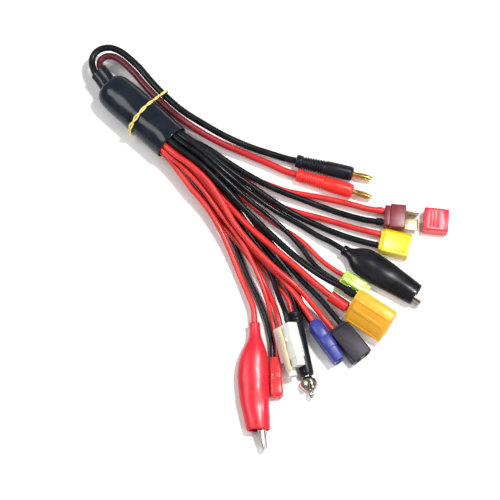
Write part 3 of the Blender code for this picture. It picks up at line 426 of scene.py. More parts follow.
def point_on(plug, x, y, z):
    """A point of a plug's own frame, in the wires' frame, mm."""
    return np.array(place(plug) @ (Vector((x, y, z)) * MM)) / MM - np.array(LEAD_ORIGIN)


def slot_positions():
    """Places (y, z) of the wires in the hub's mouth, spread until none overlap."""
    names = list(WIRES)
    radius = np.array([WIRES[n][0] / 2 for n in names])
    reach = np.array([HUB_HALF_WIDTH, HUB_HALF_HEIGHT]) - HUB_WALL - GAP - 0.2
    spot = []
    for name in names:
        ring, angle = WIRES[name][2]
        turn = math.radians(angle)
        spot.append(SLOT_RING[ring] * (reach - SLOT_INSET) * (math.cos(turn), math.sin(turn)))
    spot = np.array(spot)
    for _ in range(SLOT_ROUNDS):
        apart = spot[:, None] - spot[None]
        dist = np.linalg.norm(apart, axis=2) + np.eye(len(names))
        want = radius[:, None] + radius[None] + SETTLE_CLEAR
        push = np.clip(want - dist, 0, None) * (1 - np.eye(len(names)))
        spot = spot + 0.25 * (apart / dist[..., None] * push[..., None]).sum(axis=1)
        size = np.linalg.norm(spot / (reach - radius[:, None]), axis=1)
        spot = spot / np.clip(size, 1, None)[:, None]
    return dict(zip(names, spot))


# %% [markdown]
# A first route is a smooth curve through the given points, with a short
# straight run at each end, where the hub or the plug holds the wire. The two
# input wires turn round each other as they leave their splices.

# %% First routes


def distances(line):
    """Distance along a line, at each of its points."""
    return np.concatenate([[0], np.cumsum(np.linalg.norm(np.diff(line, axis=0), axis=1))])


def smooth_route(points, step):
    """Read a centripetal Catmull-Rom curve through the points every step mm."""
    pts = np.array(points, float)
    pts = np.vstack([2 * pts[0] - pts[1], pts, 2 * pts[-1] - pts[-2]])
    fine = []
    for a, b, c, d in zip(pts, pts[1:], pts[2:], pts[3:]):
        t1 = np.linalg.norm(b - a) ** 0.5
        t2 = t1 + np.linalg.norm(c - b) ** 0.5
        t3 = t2 + np.linalg.norm(d - c) ** 0.5
        t = np.linspace(t1, t2, 12, endpoint=False)[:, None]
        ab = (t1 - t) / t1 * a + t / t1 * b
        bc = (t2 - t) / (t2 - t1) * b + (t - t1) / (t2 - t1) * c
        cd = (t3 - t) / (t3 - t2) * c + (t - t2) / (t3 - t2) * d
        abc = (t2 - t) / t2 * ab + t / t2 * bc
        bcd = (t3 - t) / (t3 - t1) * bc + (t - t1) / (t3 - t1) * cd
        fine.extend((t2 - t) / (t2 - t1) * abc + (t - t1) / (t2 - t1) * bcd)
    fine = np.vstack([fine, pts[-2]])
    run = distances(fine)
    count = max(3, round(run[-1] / step) + 1)
    at = np.linspace(0, run[-1], count)
    return np.column_stack([np.interp(at, run, fine[:, k]) for k in range(3)])


def entry_points(plug, offset):
    """The last two points of a wire: straight in to the plug's rear face."""
    y, z = offset
    return [point_on(plug, -back, y, z) for back in (GUIDE, GAP)]


def wire_routes():
    """Each wire's first smooth route, its radius and which of its points may move."""
    routes = {}
    slots = slot_positions()
    for name, (thick, _, _, points, plug, offset) in WIRES.items():
        y, z = slots[name]
        start = [(SPLICE_FRONT + GAP, y, z + HUB_Z), (HUB_MOUTH - 9, y, z + HUB_Z),
                 (HUB_MOUTH + STRAIGHT, y, z + HUB_Z)]
        line = smooth_route(start + points + entry_points(plug, offset), WIRE_STEP * thick)
        free = line[:, 0] > HUB_MOUTH + STRAIGHT + 1
        free[-2:] = False
        routes[name] = [line, thick / 2, free, plug]
    for name, (_, points, plug, side) in SUPPLY.items():
        twist = [(SPLICE_REAR - 0.9, 45), (-16.5, 45), (-19, 80), (-21.5, 135), (-24, 180)]
        half = NECK_PITCH / 2
        start = []
        for x, angle in twist:
            turn = math.radians(angle)
            grow = SPLICE_OFFSET if x > -22 else half + 0.1
            start.append((x, side * grow * math.cos(turn), HUB_Z + side * grow * math.sin(turn)))
        start.append((-30, 1.4 - side * half, HUB_Z))
        start.append((NECK_END, 2.5 - side * half, HUB_Z))
        line = smooth_route(start + points + entry_points(plug, (0, 0)), SUPPLY_WIRE * SUPPLY_STEP)
        free = np.arange(len(line)) > SUPPLY_HELD
        free[-2:] = False
        routes[name] = [line, SUPPLY_WIRE / 2, free, plug]
    return routes


# %% [markdown]
# Settling looks at every pair of wire segments that come near each other. Where
# the closest points are nearer than the two radii, both segments are pushed
# apart, and each wire is then evened out so that it keeps its own curve. Plugs
# are simple capsules that push but don't move. The last rounds only push.

# %% Push the wires apart
LAST_ROUNDS = 60                     # rounds at the end without evening out
NEAR_ROUNDS = 10                     # rounds between two searches for near pairs
PUSHED = 0.8                         # part of the push taken in one round
EVENED = 0.3                         # part of the way to an even curve
RETURNED = 0.01                      # part of the way back to the first route

# capsules that keep other wires off each plug: (x0, x1, y, z, radius) in its own frame
BODIES = {
    "black_banana": [(0, 48, 0, 0, 4.5)],
    "red_banana": [(0, 48, 0, 0, 4.5)],
    "tee_plug": [(3, 11, -3.6, 0, 4.2), (3, 11, 3.6, 0, 4.2)],
    "small_yellow": [(3, 14, -3.9, 0, 4.2), (3, 14, 3.9, 0, 4.2)],
    "black_clip": [(3, 6, 0, 0, 4.4), (12, 40, -3, 0, 6.0), (12, 40, 3, 0, 6.0)],
    "lime_plug": [(3, 16, -2.6, 0, 3.4), (3, 16, 2.6, 0, 3.4)],
    "large_yellow": [(4, 20, -5.4, 0, 5.4), (4, 20, 5.4, 0, 5.4)],
    "black_plug": [(4, 18, -2.4, 0, 4.6), (4, 18, 2.4, 0, 4.6)],
    "blue_plug": [(4, 22, -2.6, 0, 4.2), (4, 22, 2.6, 0, 4.2)],
    "igniter": [(1, 34, 0, 0, 4.4)],
    "latch_plug": [(3, 18, -3.4, 0, 3.7), (3, 18, 3.4, 0, 3.7)],
    "small_red": [(2, 22, -0.8, 0, 3.3), (2, 22, 0.8, 0, 3.3)],
    "red_clip": [(3, 12, 0, 0, 4.2), (23, 52, -5, 0, 6.0), (23, 52, 1, 0, 6.0)],
}


def closest_pairs(a0, a1, b0, b1):
    """Closest points of segment pairs, as parts (s, t) of the way along each."""
    u, v, w = a1 - a0, b1 - b0, a0 - b0
    uu = (u * u).sum(-1) + 1e-9
    vv = (v * v).sum(-1) + 1e-9
    uv = (u * v).sum(-1)
    uw = (u * w).sum(-1)
    vw = (v * w).sum(-1)
    denom = uu * vv - uv * uv
    s = np.where(denom > 1e-6, (uv * vw - vv * uw) / np.maximum(denom, 1e-6), 0.5)
    s = np.clip(s, 0, 1)
    t = np.clip((uv * s + vw) / vv, 0, 1)
    s = np.clip((uv * t - uw) / uu, 0, 1)
    return s, t


def settle(routes):
    """Move the free points until no wire meets another wire, a plug, the hub or the floor."""
    names = list(routes)
    pos = np.vstack([routes[n][0] for n in names])
    free = np.concatenate([routes[n][2] for n in names])
    floor = np.concatenate([np.full(len(routes[n][0]), routes[n][1]) for n in names])
    first, radius, owner, plug = [], [], [], []
    base = 0
    inner = np.zeros(len(pos), bool)
    outside = np.zeros(len(pos), bool)
    for k, name in enumerate(names):
        line, thick, loose, on = routes[name]
        first.extend(range(base, base + len(line) - 1))
        radius.extend([thick] * (len(line) - 1))
        owner.extend([k] * (len(line) - 1))
        plug.extend([on] * (len(line) - 1))
        inner[base + 1:base + len(line) - 1] = True
        outside[base:base + len(line)] = loose & (name in SUPPLY)
        base += len(line)
    solid = []
    for on, shapes in BODIES.items():
        for x0, x1, y, z, r in shapes:
            solid.append(([point_on(on, x, y, z) for x in (x0, x1)], r, on))
    wire_count = len(first)
    extra = len(pos)
    pos = np.vstack([pos] + [np.array(ends) for ends, _, _ in solid])
    free = np.concatenate([free, np.zeros(2 * len(solid), bool)])
    for k, (_, r, on) in enumerate(solid):
        first.append(extra + 2 * k)
        radius.append(r)
        owner.append(len(names) + k)
        plug.append(on)
    first, radius, owner, plug = (np.array(v) for v in (first, radius, owner, plug))
    home = pos.copy()
    rows, cols = np.triu_indices(len(first), 1)
    keep = (owner[rows] != owner[cols]) & (rows < wire_count)
    keep &= ~((cols >= wire_count) & (plug[rows] == plug[cols]))
    rows, cols = rows[keep], cols[keep]
    move = free[:, None].astype(float)
    for turn in range(SETTLE_ROUNDS):
        if turn % NEAR_ROUNDS == 0:
            middle = (pos[first] + pos[first + 1]) / 2
            half = np.linalg.norm(pos[first + 1] - pos[first], axis=1) / 2
            span = half[rows] + half[cols] + radius[rows] + radius[cols] + 3
            near = np.linalg.norm(middle[rows] - middle[cols], axis=1) < span
            i, j = rows[near], cols[near]
        s, t = closest_pairs(pos[first[i]], pos[first[i] + 1], pos[first[j]], pos[first[j] + 1])
        pa = pos[first[i]] + s[:, None] * (pos[first[i] + 1] - pos[first[i]])
        pb = pos[first[j]] + t[:, None] * (pos[first[j] + 1] - pos[first[j]])
        gap = pa - pb
        dist = np.linalg.norm(gap, axis=1) + 1e-6
        deep = np.clip(radius[i] + radius[j] + SETTLE_CLEAR - dist, 0, None)
        push = gap / dist[:, None] * (0.5 * deep)[:, None]
        shift = np.zeros_like(pos)
        for node, sign, part in ((first[i], 1, 1 - s), (first[i] + 1, 1, s),
                                 (first[j], -1, 1 - t), (first[j] + 1, -1, t)):
            np.add.at(shift, node, sign * part[:, None] * push)
        pos = pos + PUSHED * shift * move
        if turn < SETTLE_ROUNDS - LAST_ROUNDS:
            even = np.zeros_like(pos)
            idx = np.flatnonzero(inner)
            even[idx] = (pos[idx - 1] + pos[idx + 1]) / 2 - pos[idx]
            bend = np.zeros_like(pos)
            bend[idx] = (home[idx - 1] + home[idx + 1]) / 2 - home[idx]
            pos = pos + (EVENED * (even - bend) + RETURNED * (home - pos)) * move
        y = pos[:extra, 1]
        z = pos[:extra, 2] - HUB_Z
        wide = HUB_HALF_WIDTH + SUPPLY_WIRE / 2 + GAP + 0.1
        tall = HUB_HALF_HEIGHT + SUPPLY_WIRE / 2 + GAP + 0.1
        size = np.sqrt((y / wide) ** 2 + (z / tall) ** 2)
        at_hub = outside & (pos[:extra, 0] > HUB_REAR - 2) & (pos[:extra, 0] < HUB_MOUTH + 2)
        grow = np.where(at_hub & (size < 1), 1 / np.maximum(size, 0.1), 1)
        pos[:extra, 1] = y * grow
        pos[:extra, 2] = HUB_Z + z * grow
        pos[:extra, 2] = np.where(free[:extra], np.maximum(pos[:extra, 2], floor + 0.05),
                                  pos[:extra, 2])
    result = {}
    base = 0
    for name in names:
        count = len(routes[name][0])
        result[name] = pos[base:base + count]
        base += count
    return result


# %% Settle the bundle
ROUTES = wire_routes()
LINES = settle(ROUTES)
ORIGIN = np.array(LEAD_ORIGIN)


def run_length(line):
    """Length along a line of points."""
    return float(np.linalg.norm(np.diff(line, axis=0), axis=1).sum())


for wire_name in ("tee_red_wire", "red_clip_wire", "supply_black_wire"):
    print(wire_name, "mm:", round(run_length(LINES[wire_name]), 1))

# %% [markdown]
# Each wire is a curve with a round bevel. The settled points are a few
# diameters apart, so a smooth curve is read through them at about a
# millimetre. That keeps the highlight along the wire unbroken.

# %% Draw the wires
FINE_STEP = 1.1                      # mm between the points of a finished wire


def round_line(name, points, radius, resolution=4, closed=False):
    """A round curve through points, in mm, and its object."""
    curve = bpy.data.curves.new(name, "CURVE")
    curve.dimensions = "3D"
    curve.bevel_depth = radius * MM
    curve.bevel_resolution = resolution
    curve.use_fill_caps = not closed
    spline = curve.splines.new("POLY")
    spline.points.add(len(points) - 1)
    for spot, point in zip(spline.points, points):
        spot.co = (*(float(v) * MM for v in point), 1.0)
    spline.use_smooth = True
    spline.use_cyclic_u = closed
    drawn_line = bpy.data.objects.new(name, curve)
    bpy.context.scene.collection.objects.link(drawn_line)
    return drawn_line


def as_mesh(piece):
    """The same piece, turned from a curve into a mesh."""
    hold(piece)
    bpy.ops.object.convert(target="MESH")
    return bpy.context.object


def cord_along(name, line, radius, material, resolution=4):
    """A round cord through points in the wires' frame, mm."""
    cord = round_line(name, line + ORIGIN, radius, resolution)
    cord.data.materials.append(material)
    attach(cord, "loom")
    return cord


WIRE_FINISH = {"wire_red": "red_wire", "wire_black": "black_wire", "supply_red": "supply_red"}
CORDS = {}
for wire_name, settled in LINES.items():
    colour = WIRES[wire_name][1] if wire_name in WIRES else SUPPLY[wire_name][0]
    thick = 2 * ROUTES[wire_name][1]
    fine_line = smooth_route(settled, FINE_STEP)
    cord = cord_along(wire_name + "_insulation", fine_line, thick / 2, FINISH[WIRE_FINISH[colour]])
    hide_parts(wire_name)
    CORDS[wire_name] = (cord, thick, fine_line)
print("wires:", len(CORDS))

# %% [markdown]
# ## Drawing a shape out along its axis
#
# Nearly every plug, grip and sleeve on this lead is one cross-section that
# swells and narrows along its length. By hand that is modelled by adding a
# flat face, then extruding and scaling it again and again. The function below
# does exactly that from a list of stations. A station at the same place but
# smaller makes a step or a rim, and stations that run backwards make a hollow.

# %% Extrude a section through stations


def station(values):
    """A station as x, width, height, y, z in metres."""
    return [v * MM for v in (*values, 0.0, 0.0)[:5]]


def drawn(name, stations, section="round", sides=32, corner=0.6, key=0.0, steps=3):
    """Draw a round, box or keyed section out along +X through stations in mm."""
    let_go()
    x, width, height, y, z = station(stations[0])
    if section == "round":
        bpy.ops.mesh.primitive_circle_add(vertices=sides, radius=0.5, fill_type="NGON",
                                          rotation=(0, QUARTER, 0))
    else:
        bpy.ops.mesh.primitive_plane_add(size=1.0, rotation=(0, QUARTER, 0))
    piece = bpy.context.object
    piece.name = name
    bpy.ops.object.transform_apply(location=True, rotation=True, scale=True)
    bpy.ops.object.mode_set(mode="EDIT")
    bpy.ops.mesh.select_mode(type="VERT")
    bpy.ops.mesh.select_all(action="SELECT")
    bpy.ops.transform.resize(value=(1, width, height), center_override=(0, 0, 0))
    bpy.ops.transform.translate(value=(x, y, z))
    if section == "keyed":
        pick(piece, lambda p: p.y > y)
        bpy.ops.mesh.bevel(offset=key * MM, segments=1, affect="VERTICES")
        pick(piece, lambda p: p.y < y - width * 0.3)
    if section != "round" and corner:
        bpy.ops.mesh.bevel(offset=corner * MM, segments=steps, affect="VERTICES")
    bpy.ops.mesh.select_all(action="SELECT")
    for values in stations[1:]:
        next_x, next_width, next_height, next_y, next_z = station(values)
        move = (next_x - x, next_y - y, next_z - z)
        bpy.ops.mesh.extrude_region_move(TRANSFORM_OT_translate={"value": move})
        grow = (1, next_width / width, next_height / height)
        bpy.ops.transform.resize(value=grow, center_override=(next_x, next_y, next_z))
        x, width, height, y, z = next_x, next_width, next_height, next_y, next_z
    bpy.ops.mesh.select_all(action="SELECT")
    bpy.ops.mesh.normals_make_consistent(inside=False)
    bpy.ops.object.mode_set(mode="OBJECT")
    return piece


def pick(piece, wanted):
    """In edit mode, select the vertices whose place passes a test."""
    bpy.ops.mesh.select_all(action="DESELECT")
    bpy.ops.object.mode_set(mode="OBJECT")
    for vertex in piece.data.vertices:
        vertex.select = bool(wanted(vertex.co))
    bpy.ops.object.mode_set(mode="EDIT")


def plate(name, outline, low, high):
    """A flat outline in X and Y (mm), extruded from z = low to z = high."""
    let_go()
    bpy.ops.mesh.primitive_circle_add(vertices=len(outline), radius=1.0, fill_type="NGON")
    piece = bpy.context.object
    piece.name = name
    for vertex, (x, y) in zip(piece.data.vertices, outline):
        vertex.co = (x * MM, y * MM, low * MM)
    bpy.ops.object.mode_set(mode="EDIT")
    bpy.ops.mesh.select_all(action="SELECT")
    rise = {"value": (0, 0, (high - low) * MM)}
    bpy.ops.mesh.extrude_region_move(TRANSFORM_OT_translate=rise)
    bpy.ops.mesh.select_all(action="SELECT")
    bpy.ops.mesh.normals_make_consistent(inside=False)
    bpy.ops.object.mode_set(mode="OBJECT")
    return piece


def turned(name, profile, y=0, sides=24):
    """A piece turned round a line along X, from (x, diameter) pairs."""
    return drawn(name, [(x, size, size, y) for x, size in profile], sides=sides)


def block(name, x, y, z, corner=0.0):
    """A box between (low, high) pairs in mm, by drawing out one section."""
    width, height = y[1] - y[0], z[1] - z[0]
    middle = ((y[0] + y[1]) / 2, (z[0] + z[1]) / 2)
    ends = [(end, width, height, *middle) for end in x]
    return drawn(name, ends, "box", corner=corner)


def use(piece, kind, **settings):
    """Add a modifier, set it up and apply it."""
    hold(piece)
    modifier = piece.modifiers.new(kind.lower(), kind)
    for key, value in settings.items():
        setattr(modifier, key, value)
    bpy.ops.object.modifier_apply(modifier=modifier.name)
    return piece


def carve(piece, *tools, operation="DIFFERENCE"):
    """Cut tools out of a piece, or join them to it, and throw them away."""
    for tool in tools:
        use(piece, "BOOLEAN", operation=operation, solver="EXACT", object=tool)
        bpy.data.objects.remove(tool, do_unlink=True)
    return piece


def soften(piece, width, segments=2, angle=32):
    """Round the piece's edges, as a mould does."""
    return use(piece, "BEVEL", width=width * MM, segments=segments, limit_method="ANGLE",
               angle_limit=math.radians(angle), harden_normals=False)


def smooth(piece, levels=2):
    """Subdivide a soft shape."""
    return use(piece, "SUBSURF", levels=levels, render_levels=levels)


def done(piece, plug, material, nodes=(), body="loom", angle=34):
    """Shade, move to the plug's place, give the finish and hand over to the rig."""
    hold(piece)
    bpy.ops.object.shade_smooth_by_angle(angle=math.radians(angle))
    matrix = place(plug) if plug else Matrix.Translation(LEAD_ORIGIN * MM)
    piece.data.transform(matrix)
    for vertex in piece.data.vertices:
        vertex.co.z = max(vertex.co.z, 0.0)
    piece.data.materials.clear()
    piece.data.materials.append(FINISH[material])
    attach(piece, body)
    if nodes:
        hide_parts(*([nodes] if isinstance(nodes, str) else nodes))
    return piece

# %% [markdown]
# ## The hub
#
# The hub is a wide heat-shrink tube pulled down over the crimped ends of all
# the wires. Shrink tube ends in soft round shoulders and shows the lumps of
# what is inside. The tube is drawn out as one shell with its wall turned in
# at the mouth, subdivided, then pushed in and out a little by a smooth noise.

# %% Hub sleeve


def ripple(piece, size, strength):
    """Push a surface in and out by soft noise, in mm."""
    texture = bpy.data.textures.new(piece.name + "_ripple", "CLOUDS")
    texture.noise_scale = size * MM
    texture.noise_depth = 1
    return use(piece, "DISPLACE", texture=texture, texture_coords="LOCAL",
               strength=strength * MM, mid_level=0.5)


WIDTH, HEIGHT = 2 * HUB_HALF_WIDTH, 2 * HUB_HALF_HEIGHT
shoulders = [(HUB_REAR, 0.60), (HUB_REAR + 0.5, 0.70), (HUB_REAR + 2.0, 0.84),
             (HUB_REAR + 4.5, 0.94), (HUB_REAR + 9.0, 0.985), (HUB_REAR + 18.0, 0.99),
             (0.0, 0.98), (12.0, 0.98), (22.0, 0.985), (HUB_MOUTH - 0.7, 0.985),
             (HUB_MOUTH - 0.1, 0.975), (HUB_MOUTH - 0.1, 0.945)]
outside = [(x, WIDTH * part, HEIGHT * part, 0.0, HUB_Z) for x, part in shoulders]
inside = [(x, (WIDTH - 2) * part, (HEIGHT - 2) * part, 0.0, HUB_Z)
          for x, part in ((HUB_MOUTH - 0.5, 0.985), (10.0, 0.985), (-6.0, 0.985))]
sleeve = drawn("hub_shrink_sleeve", outside + inside, sides=40)
smooth(sleeve)
ripple(sleeve, 14.0, 0.9)
done(sleeve, None, "sleeve", "hub_sleeve", angle=50)

# %% [markdown]
# The neck is a narrower tube shrunk over the two input wires. It takes the
# shape of the pair inside, with a shallow valley between two lobes.

# %% Neck sleeve
neck_line = [(-24.6, 0.3), (-27.5, 0.8), (-30.5, 1.4), (-33.5, 2.0), (-36.0, 2.4), (-37.0, 2.6)]
neck_outside = [(x, 11.8, 7.2, y, HUB_Z) for x, y in reversed(neck_line[:-1])]
neck_stations = [(-36.6, 10.4, 5.8, 2.5, HUB_Z), (-36.9, 11.0, 6.4, 2.5, HUB_Z),
                 (-36.7, 11.7, 7.1, 2.5, HUB_Z)] + neck_outside
neck = drawn("neck_shrink_sleeve", neck_stations, sides=40)
smooth(neck)
for vertex in neck.data.vertices:
    across = vertex.co.y / MM - 0.3 - 0.19 * (-24.6 - vertex.co.x / MM)
    dip = 1 - 0.24 * math.exp(-(across / 1.5) ** 2)
    vertex.co.z = (HUB_Z + (vertex.co.z / MM - HUB_Z) * dip) * MM
ripple(neck, 6.0, 0.6)
done(neck, None, "sleeve", "neck_sleeve", angle=50)

# %% [markdown]
# Inside the mouth each wire goes on to a crimped splice. A near-black plug fills
# the space between them: painted shade, the dark floor seen behind the wires.

# %% Painted shade in the hub's mouth
mouth_shade = drawn("hub_glue", [(-4.0, 20.6, 16.6, 0, HUB_Z), (14.0, 20.8, 16.8, 0, HUB_Z),
                          (17.5, 16.0, 12.0, 0, HUB_Z)], sides=32)
smooth(mouth_shade)
done(mouth_shade, None, "shadow", angle=60)
for splice in ("negative_splice", "positive_splice"):
    bpy.data.objects[splice].material_slots[0].material = FINISH["copper"]
    print(splice, "in", bpy.data.objects[splice].material_slots[0].material.name)

# %% [markdown]
# ## The rubber band
#
# The band is one thin loop put on double and twisted, so two strands wind
# round each other. Each strand is the band's loop with a small circle added
# that turns as it goes along.

# %% Two twisted strands
BAND_X = 4.8
BAND_STRAND = 0.54
BAND_TWISTS = 7
BAND_WIRES = (14.5, 18.9)            # y of the two input wires at the band, mm
ROUND_SIDES = 72


def turn_of(a, b, c):
    """Positive when a, b, c turn left."""
    return (b[0] - a[0]) * (c[1] - a[1]) - (b[1] - a[1]) * (c[0] - a[0])


def band_loop(margin, count):
    """Points (y, z) of a tight loop round the hub and the two input wires."""
    cloud = []
    for k in range(ROUND_SIDES):
        turn = 2 * math.pi * k / ROUND_SIDES
        c, s = math.cos(turn), math.sin(turn)
        cloud.append(((HUB_HALF_WIDTH + margin) * c, HUB_Z + (HUB_HALF_HEIGHT + margin) * s))
        for y in BAND_WIRES:
            reach = SUPPLY_WIRE / 2 + margin + 0.1
            cloud.append((y + reach * c, HUB_Z + reach * s))
    spots = sorted(set(cloud))
    hull = []
    for run in (spots, spots[::-1]):
        side = []
        for p in run:
            while len(side) > 1 and turn_of(side[-2], side[-1], p) <= 0:
                side.pop()
            side.append(p)
        hull.extend(side[:-1])
    loop = np.array(hull + hull[:1])
    run = distances(loop)
    at = np.linspace(0, run[-1], count + 1)[:-1]
    return np.column_stack([np.interp(at, run, loop[:, k]) for k in (0, 1)])


loop = band_loop(1.15, 220)
for strand_name, phase in (("band_strand_a", 0.0), ("band_strand_b", math.pi)):
    points = []
    for k, (y, z) in enumerate(loop):
        turn = phase + 2 * math.pi * BAND_TWISTS * k / len(loop)
        away = Vector((0, y - 3.2, z - HUB_Z)).normalized()
        wide = 0.55 + 0.32 * math.cos(2 * math.pi * k / len(loop))
        reach = 0.38 * math.sin(turn)
        points.append((BAND_X - 0.06 * y + wide * math.cos(turn), y + away.y * reach,
                       z + away.z * reach))
    strand = as_mesh(round_line(strand_name, points, BAND_STRAND, 3, closed=True))
    done(strand, None, "band",
         "rubber_band" if phase == 0.0 else (), angle=60)
print("hub, mm:", [round(v / MM, 1) for v in sleeve.dimensions])

# %% [markdown]
# ## Banana plugs
#
# The charger's end is two round grips with a collar, ribs for the fingers and
# a sprung gold pin. The ribs are stations in a loop. The pin bulges in the
# middle and is slit lengthwise, so that its leaves can spring.

# %% Banana grips and pins
RIB_COUNT = 8
RIB_START = 5.1
RIB_PITCH = 1.55


def banana(name, material, slant):
    """Grip and pin of one banana plug."""
    rim = [(1.2, 3.9), (0.2, 4.1), (0.0, 5.0), (0.0, 7.0), (0.5, 8.0), (3.4, 8.1), (4.0, 7.5),
           (4.4, 6.4)]
    ribs = []
    for rib in range(RIB_COUNT):
        x = RIB_START + RIB_PITCH * rib
        size = 7.0 + 0.14 * rib
        ribs += [(x, size - 0.5), (x + 0.25, size + 0.6), (x + 0.85, size + 0.7),
                 (x + 1.1, size - 0.4)]
    front = [(18.3, 8.4), (19.2, 8.8), (26.0, 9.0), (33.0, 9.0), (34.4, 8.6), (35.2, 7.8),
             (35.55, 6.4), (35.55, 4.6), (35.2, 4.2), (33.0, 4.2)]
    grip = turned(name + "_moulded_grip", rim + ribs + front, sides=36)
    for vertex in grip.data.vertices:
        if 4.6 * MM < vertex.co.x < 18.0 * MM:
            vertex.co.x += slant * vertex.co.y
    soften(grip, 0.12, 1, 25)
    done(grip, name, material, name + "_grip", angle=40)

    shape = [(32.3, 3.2), (35.3, 3.2), (35.3, 3.9), (36.4, 3.9), (36.6, 3.3), (37.4, 3.4),
             (38.6, 3.9), (41.0, 4.15), (43.6, 4.0), (45.4, 3.5), (45.9, 3.2), (46.6, 2.9),
             (47.2, 2.1), (47.4, 1.2)]
    pin = turned(name + "_spring_pin", shape, sides=32)
    thin = (-0.2, 0.2)
    for deep in ((0.7, 4.0), (-4.0, -0.7)):
        carve(pin, block("slit", (37.6, 45.3), thin, deep), block("slit", (37.6, 45.3), deep, thin))
    done(pin, name, "gold", name + "_pin", angle=40)
    return [grip, pin]


ON_PLUG = {"black_banana": banana("black_banana", "black_grip", 0.0),
           "red_banana": banana("red_banana", "red_grip", 0.22)}

# %% [markdown]
# ## Tee plug and its cap
#
# Two thin blades stand at right angles to each other, so the plug only goes in
# one way round. The body has a narrower collar behind, where the wires are
# soldered, and finger grooves across its sides. The bright cap is loose and
# pushes over the blades.

# %% Tee plug body and blades
tee = drawn("tee_plug_shell", [(0, 11.4, 6.4), (0, 12.4, 7.2), (0.4, 12.8, 7.6), (2.9, 12.8, 7.6),
                               (3.1, 12.4, 7.2), (3.3, 14.2, 8.0), (3.7, 15.0, 8.4), (12.0, 15.0, 8.4),
                               (12.4, 14.5, 7.9)], "box", corner=0.6)
grooves = [block("groove", (x, x + 0.6), (side * 7.6 - 0.45, side * 7.6 + 0.45), (-6, 6))
           for x in (5.0, 6.6, 8.2) for side in (1, -1)]
carve(tee, *grooves)
well = [block("well", (9.8, 14), (-7.15, 0.35), (-0.65, 0.65)),
        block("well", (9.8, 14), (2.95, 4.25), (-3.45, 3.45))]
carve(tee, *well)
soften(tee, 0.16)
done(tee, "tee_plug", "wine", "tee_plug_body")
BLADES = (("tee_plug_flat_blade", -3.4, 7.2, 1.0), ("tee_plug_upright_blade", 3.6, 1.0, 6.6))
tee_parts = [tee]
for node, y, width, height in BLADES:
    thin = (1.0 - 0.5 * (width < 2), 1.0 - 0.5 * (height < 2))
    blade = drawn(node + "_plated", [(9.9, width, height, y), (19.4, width, height, y),
                                     (20.4, width * thin[0] - 0.2, height * thin[1] - 0.2, y)],
                  "box", corner=0.25)
    soften(blade, 0.1)
    tee_parts.append(done(blade, "tee_plug", "brass", node))

cap_outside = [(37.6, 10.6, 5.2), (38.0, 10.8, 5.4), (38.0, 13.0, 7.4), (38.2, 14.0, 8.0),
               (37.9, 14.4, 8.4), (36.9, 14.6, 8.6), (36.8, 14.0, 8.0), (36.2, 14.0, 8.0),
               (36.1, 14.6, 8.6), (24.4, 14.6, 8.6), (23.7, 14.3, 8.3), (23.5, 13.6, 7.6)]
cap = drawn("tee_plug_loose_cap", cap_outside, "box", corner=0.8)
cap_slots = [block("cap_slot", (22.5, 33.5), (-7.2, 0.4), (-0.9, 0.9)),
             block("cap_slot", (22.5, 33.5), (2.7, 4.5), (-3.7, 3.7))]
carve(cap, *cap_slots)
carve(cap, turned("vent", [(35.0, 2.2), (40.0, 2.2)], sides=20),
      *[block("cap_groove", (x, x + 0.5), (-5.2, 5.2), (4.1, 4.6)) for x in (27.0, 29.0, 31.0)])
soften(cap, 0.15)
done(cap, "tee_plug", "cap", "tee_plug_cap", body="tee_cap")
ON_PLUG["tee_plug"] = tee_parts

# %% [markdown]
# ## Keyed two-pole plugs
#
# The yellow housings come in two sizes of one design. One side of the section
# is chamfered, so the plug can't be turned over. The front is a shroud round
# two pins, and each wide face carries a low rib.

# %% Both yellow plugs


def two_pole(name, plug, material, size, pitch, pin_size, depth, rib):
    """Housing, its two pins and solder cups, in mm."""
    length, width, height, wall, key = size
    inner = (width - 2 * wall, height - 2 * wall)
    floor_x = length - depth
    stations = [(0.0, width - 2.6, height - 2.4), (0.3, width - 1.8, height - 1.8),
                (1.6, width - 1.6, height - 1.6), (1.8, width - 0.4, height - 0.4),
                (2.2, width, height), (length - 0.4, width, height),
                (length, width - 0.6, height - 0.6), (length, inner[0] + 0.5, inner[1] + 0.5),
                (length - 0.5, *inner), (floor_x, *inner)]
    body = drawn(name + "_shell", stations, "keyed", corner=0.5, key=key * 0.85)
    for low, high in ((height / 2 - 0.25, height / 2 + 0.3), (-height / 2 - 0.3, -height / 2 + 0.25)):
        for y in (-width / 2 + 2.0, width / 2 - key - 1.6):
            carve(body, block("channel", (3.2, length - 2.4), (y - 0.35, y + 0.35), (low, high)))
    for hole, size, ends in (("bore", pin_size + 0.4, (floor_x - 1.9, floor_x + 1.0)),
                             ("cup_hole", pin_size - 0.1, (-1.0, 1.2))):
        carve(body, *[turned(hole, [(x, size) for x in ends], y) for y in (pitch / 2, -pitch / 2)])
    soften(body, 0.16)
    done(body, plug, material, plug + "_housing")
    pieces = [body]
    for side, y in (("left", pitch / 2), ("right", -pitch / 2)):
        p = pin_size
        tip = [(floor_x - 1.9, p), (length - 3.4, p), (length - 3.2, p * 0.9), (length - 2.9, p * 0.9),
               (length - 2.7, p), (length - 1.9, p), (length - 1.3, p * 0.82), (length - 1.2, p * 0.5)]
        pin = turned(f"{name}_{side}_gold_pin", tip, y, 28)
        carve(pin, block("split", (floor_x + 2.0, length), (y - 0.18, y + 0.18), (-4, 4)))
        soften(pin, 0.06, 1)
        pieces.append(done(pin, plug, "gold", f"{plug}_{side}_pin", angle=40))
    if rib:
        for side in (1, -1):
            z = side * (height / 2 - 0.05)
            strip = drawn(f"{name}_rib_{'upper' if side > 0 else 'lower'}",
                          [(3.0, 2.0, 0.3, 0, z), (3.6, 2.6, 0.5, 0, z), (length - 3.6, 2.6, 0.5, 0, z),
                           (length - 3.0, 2.0, 0.3, 0, z)], "box", corner=0.12)
            pieces.append(done(strip, plug, material))
    return pieces


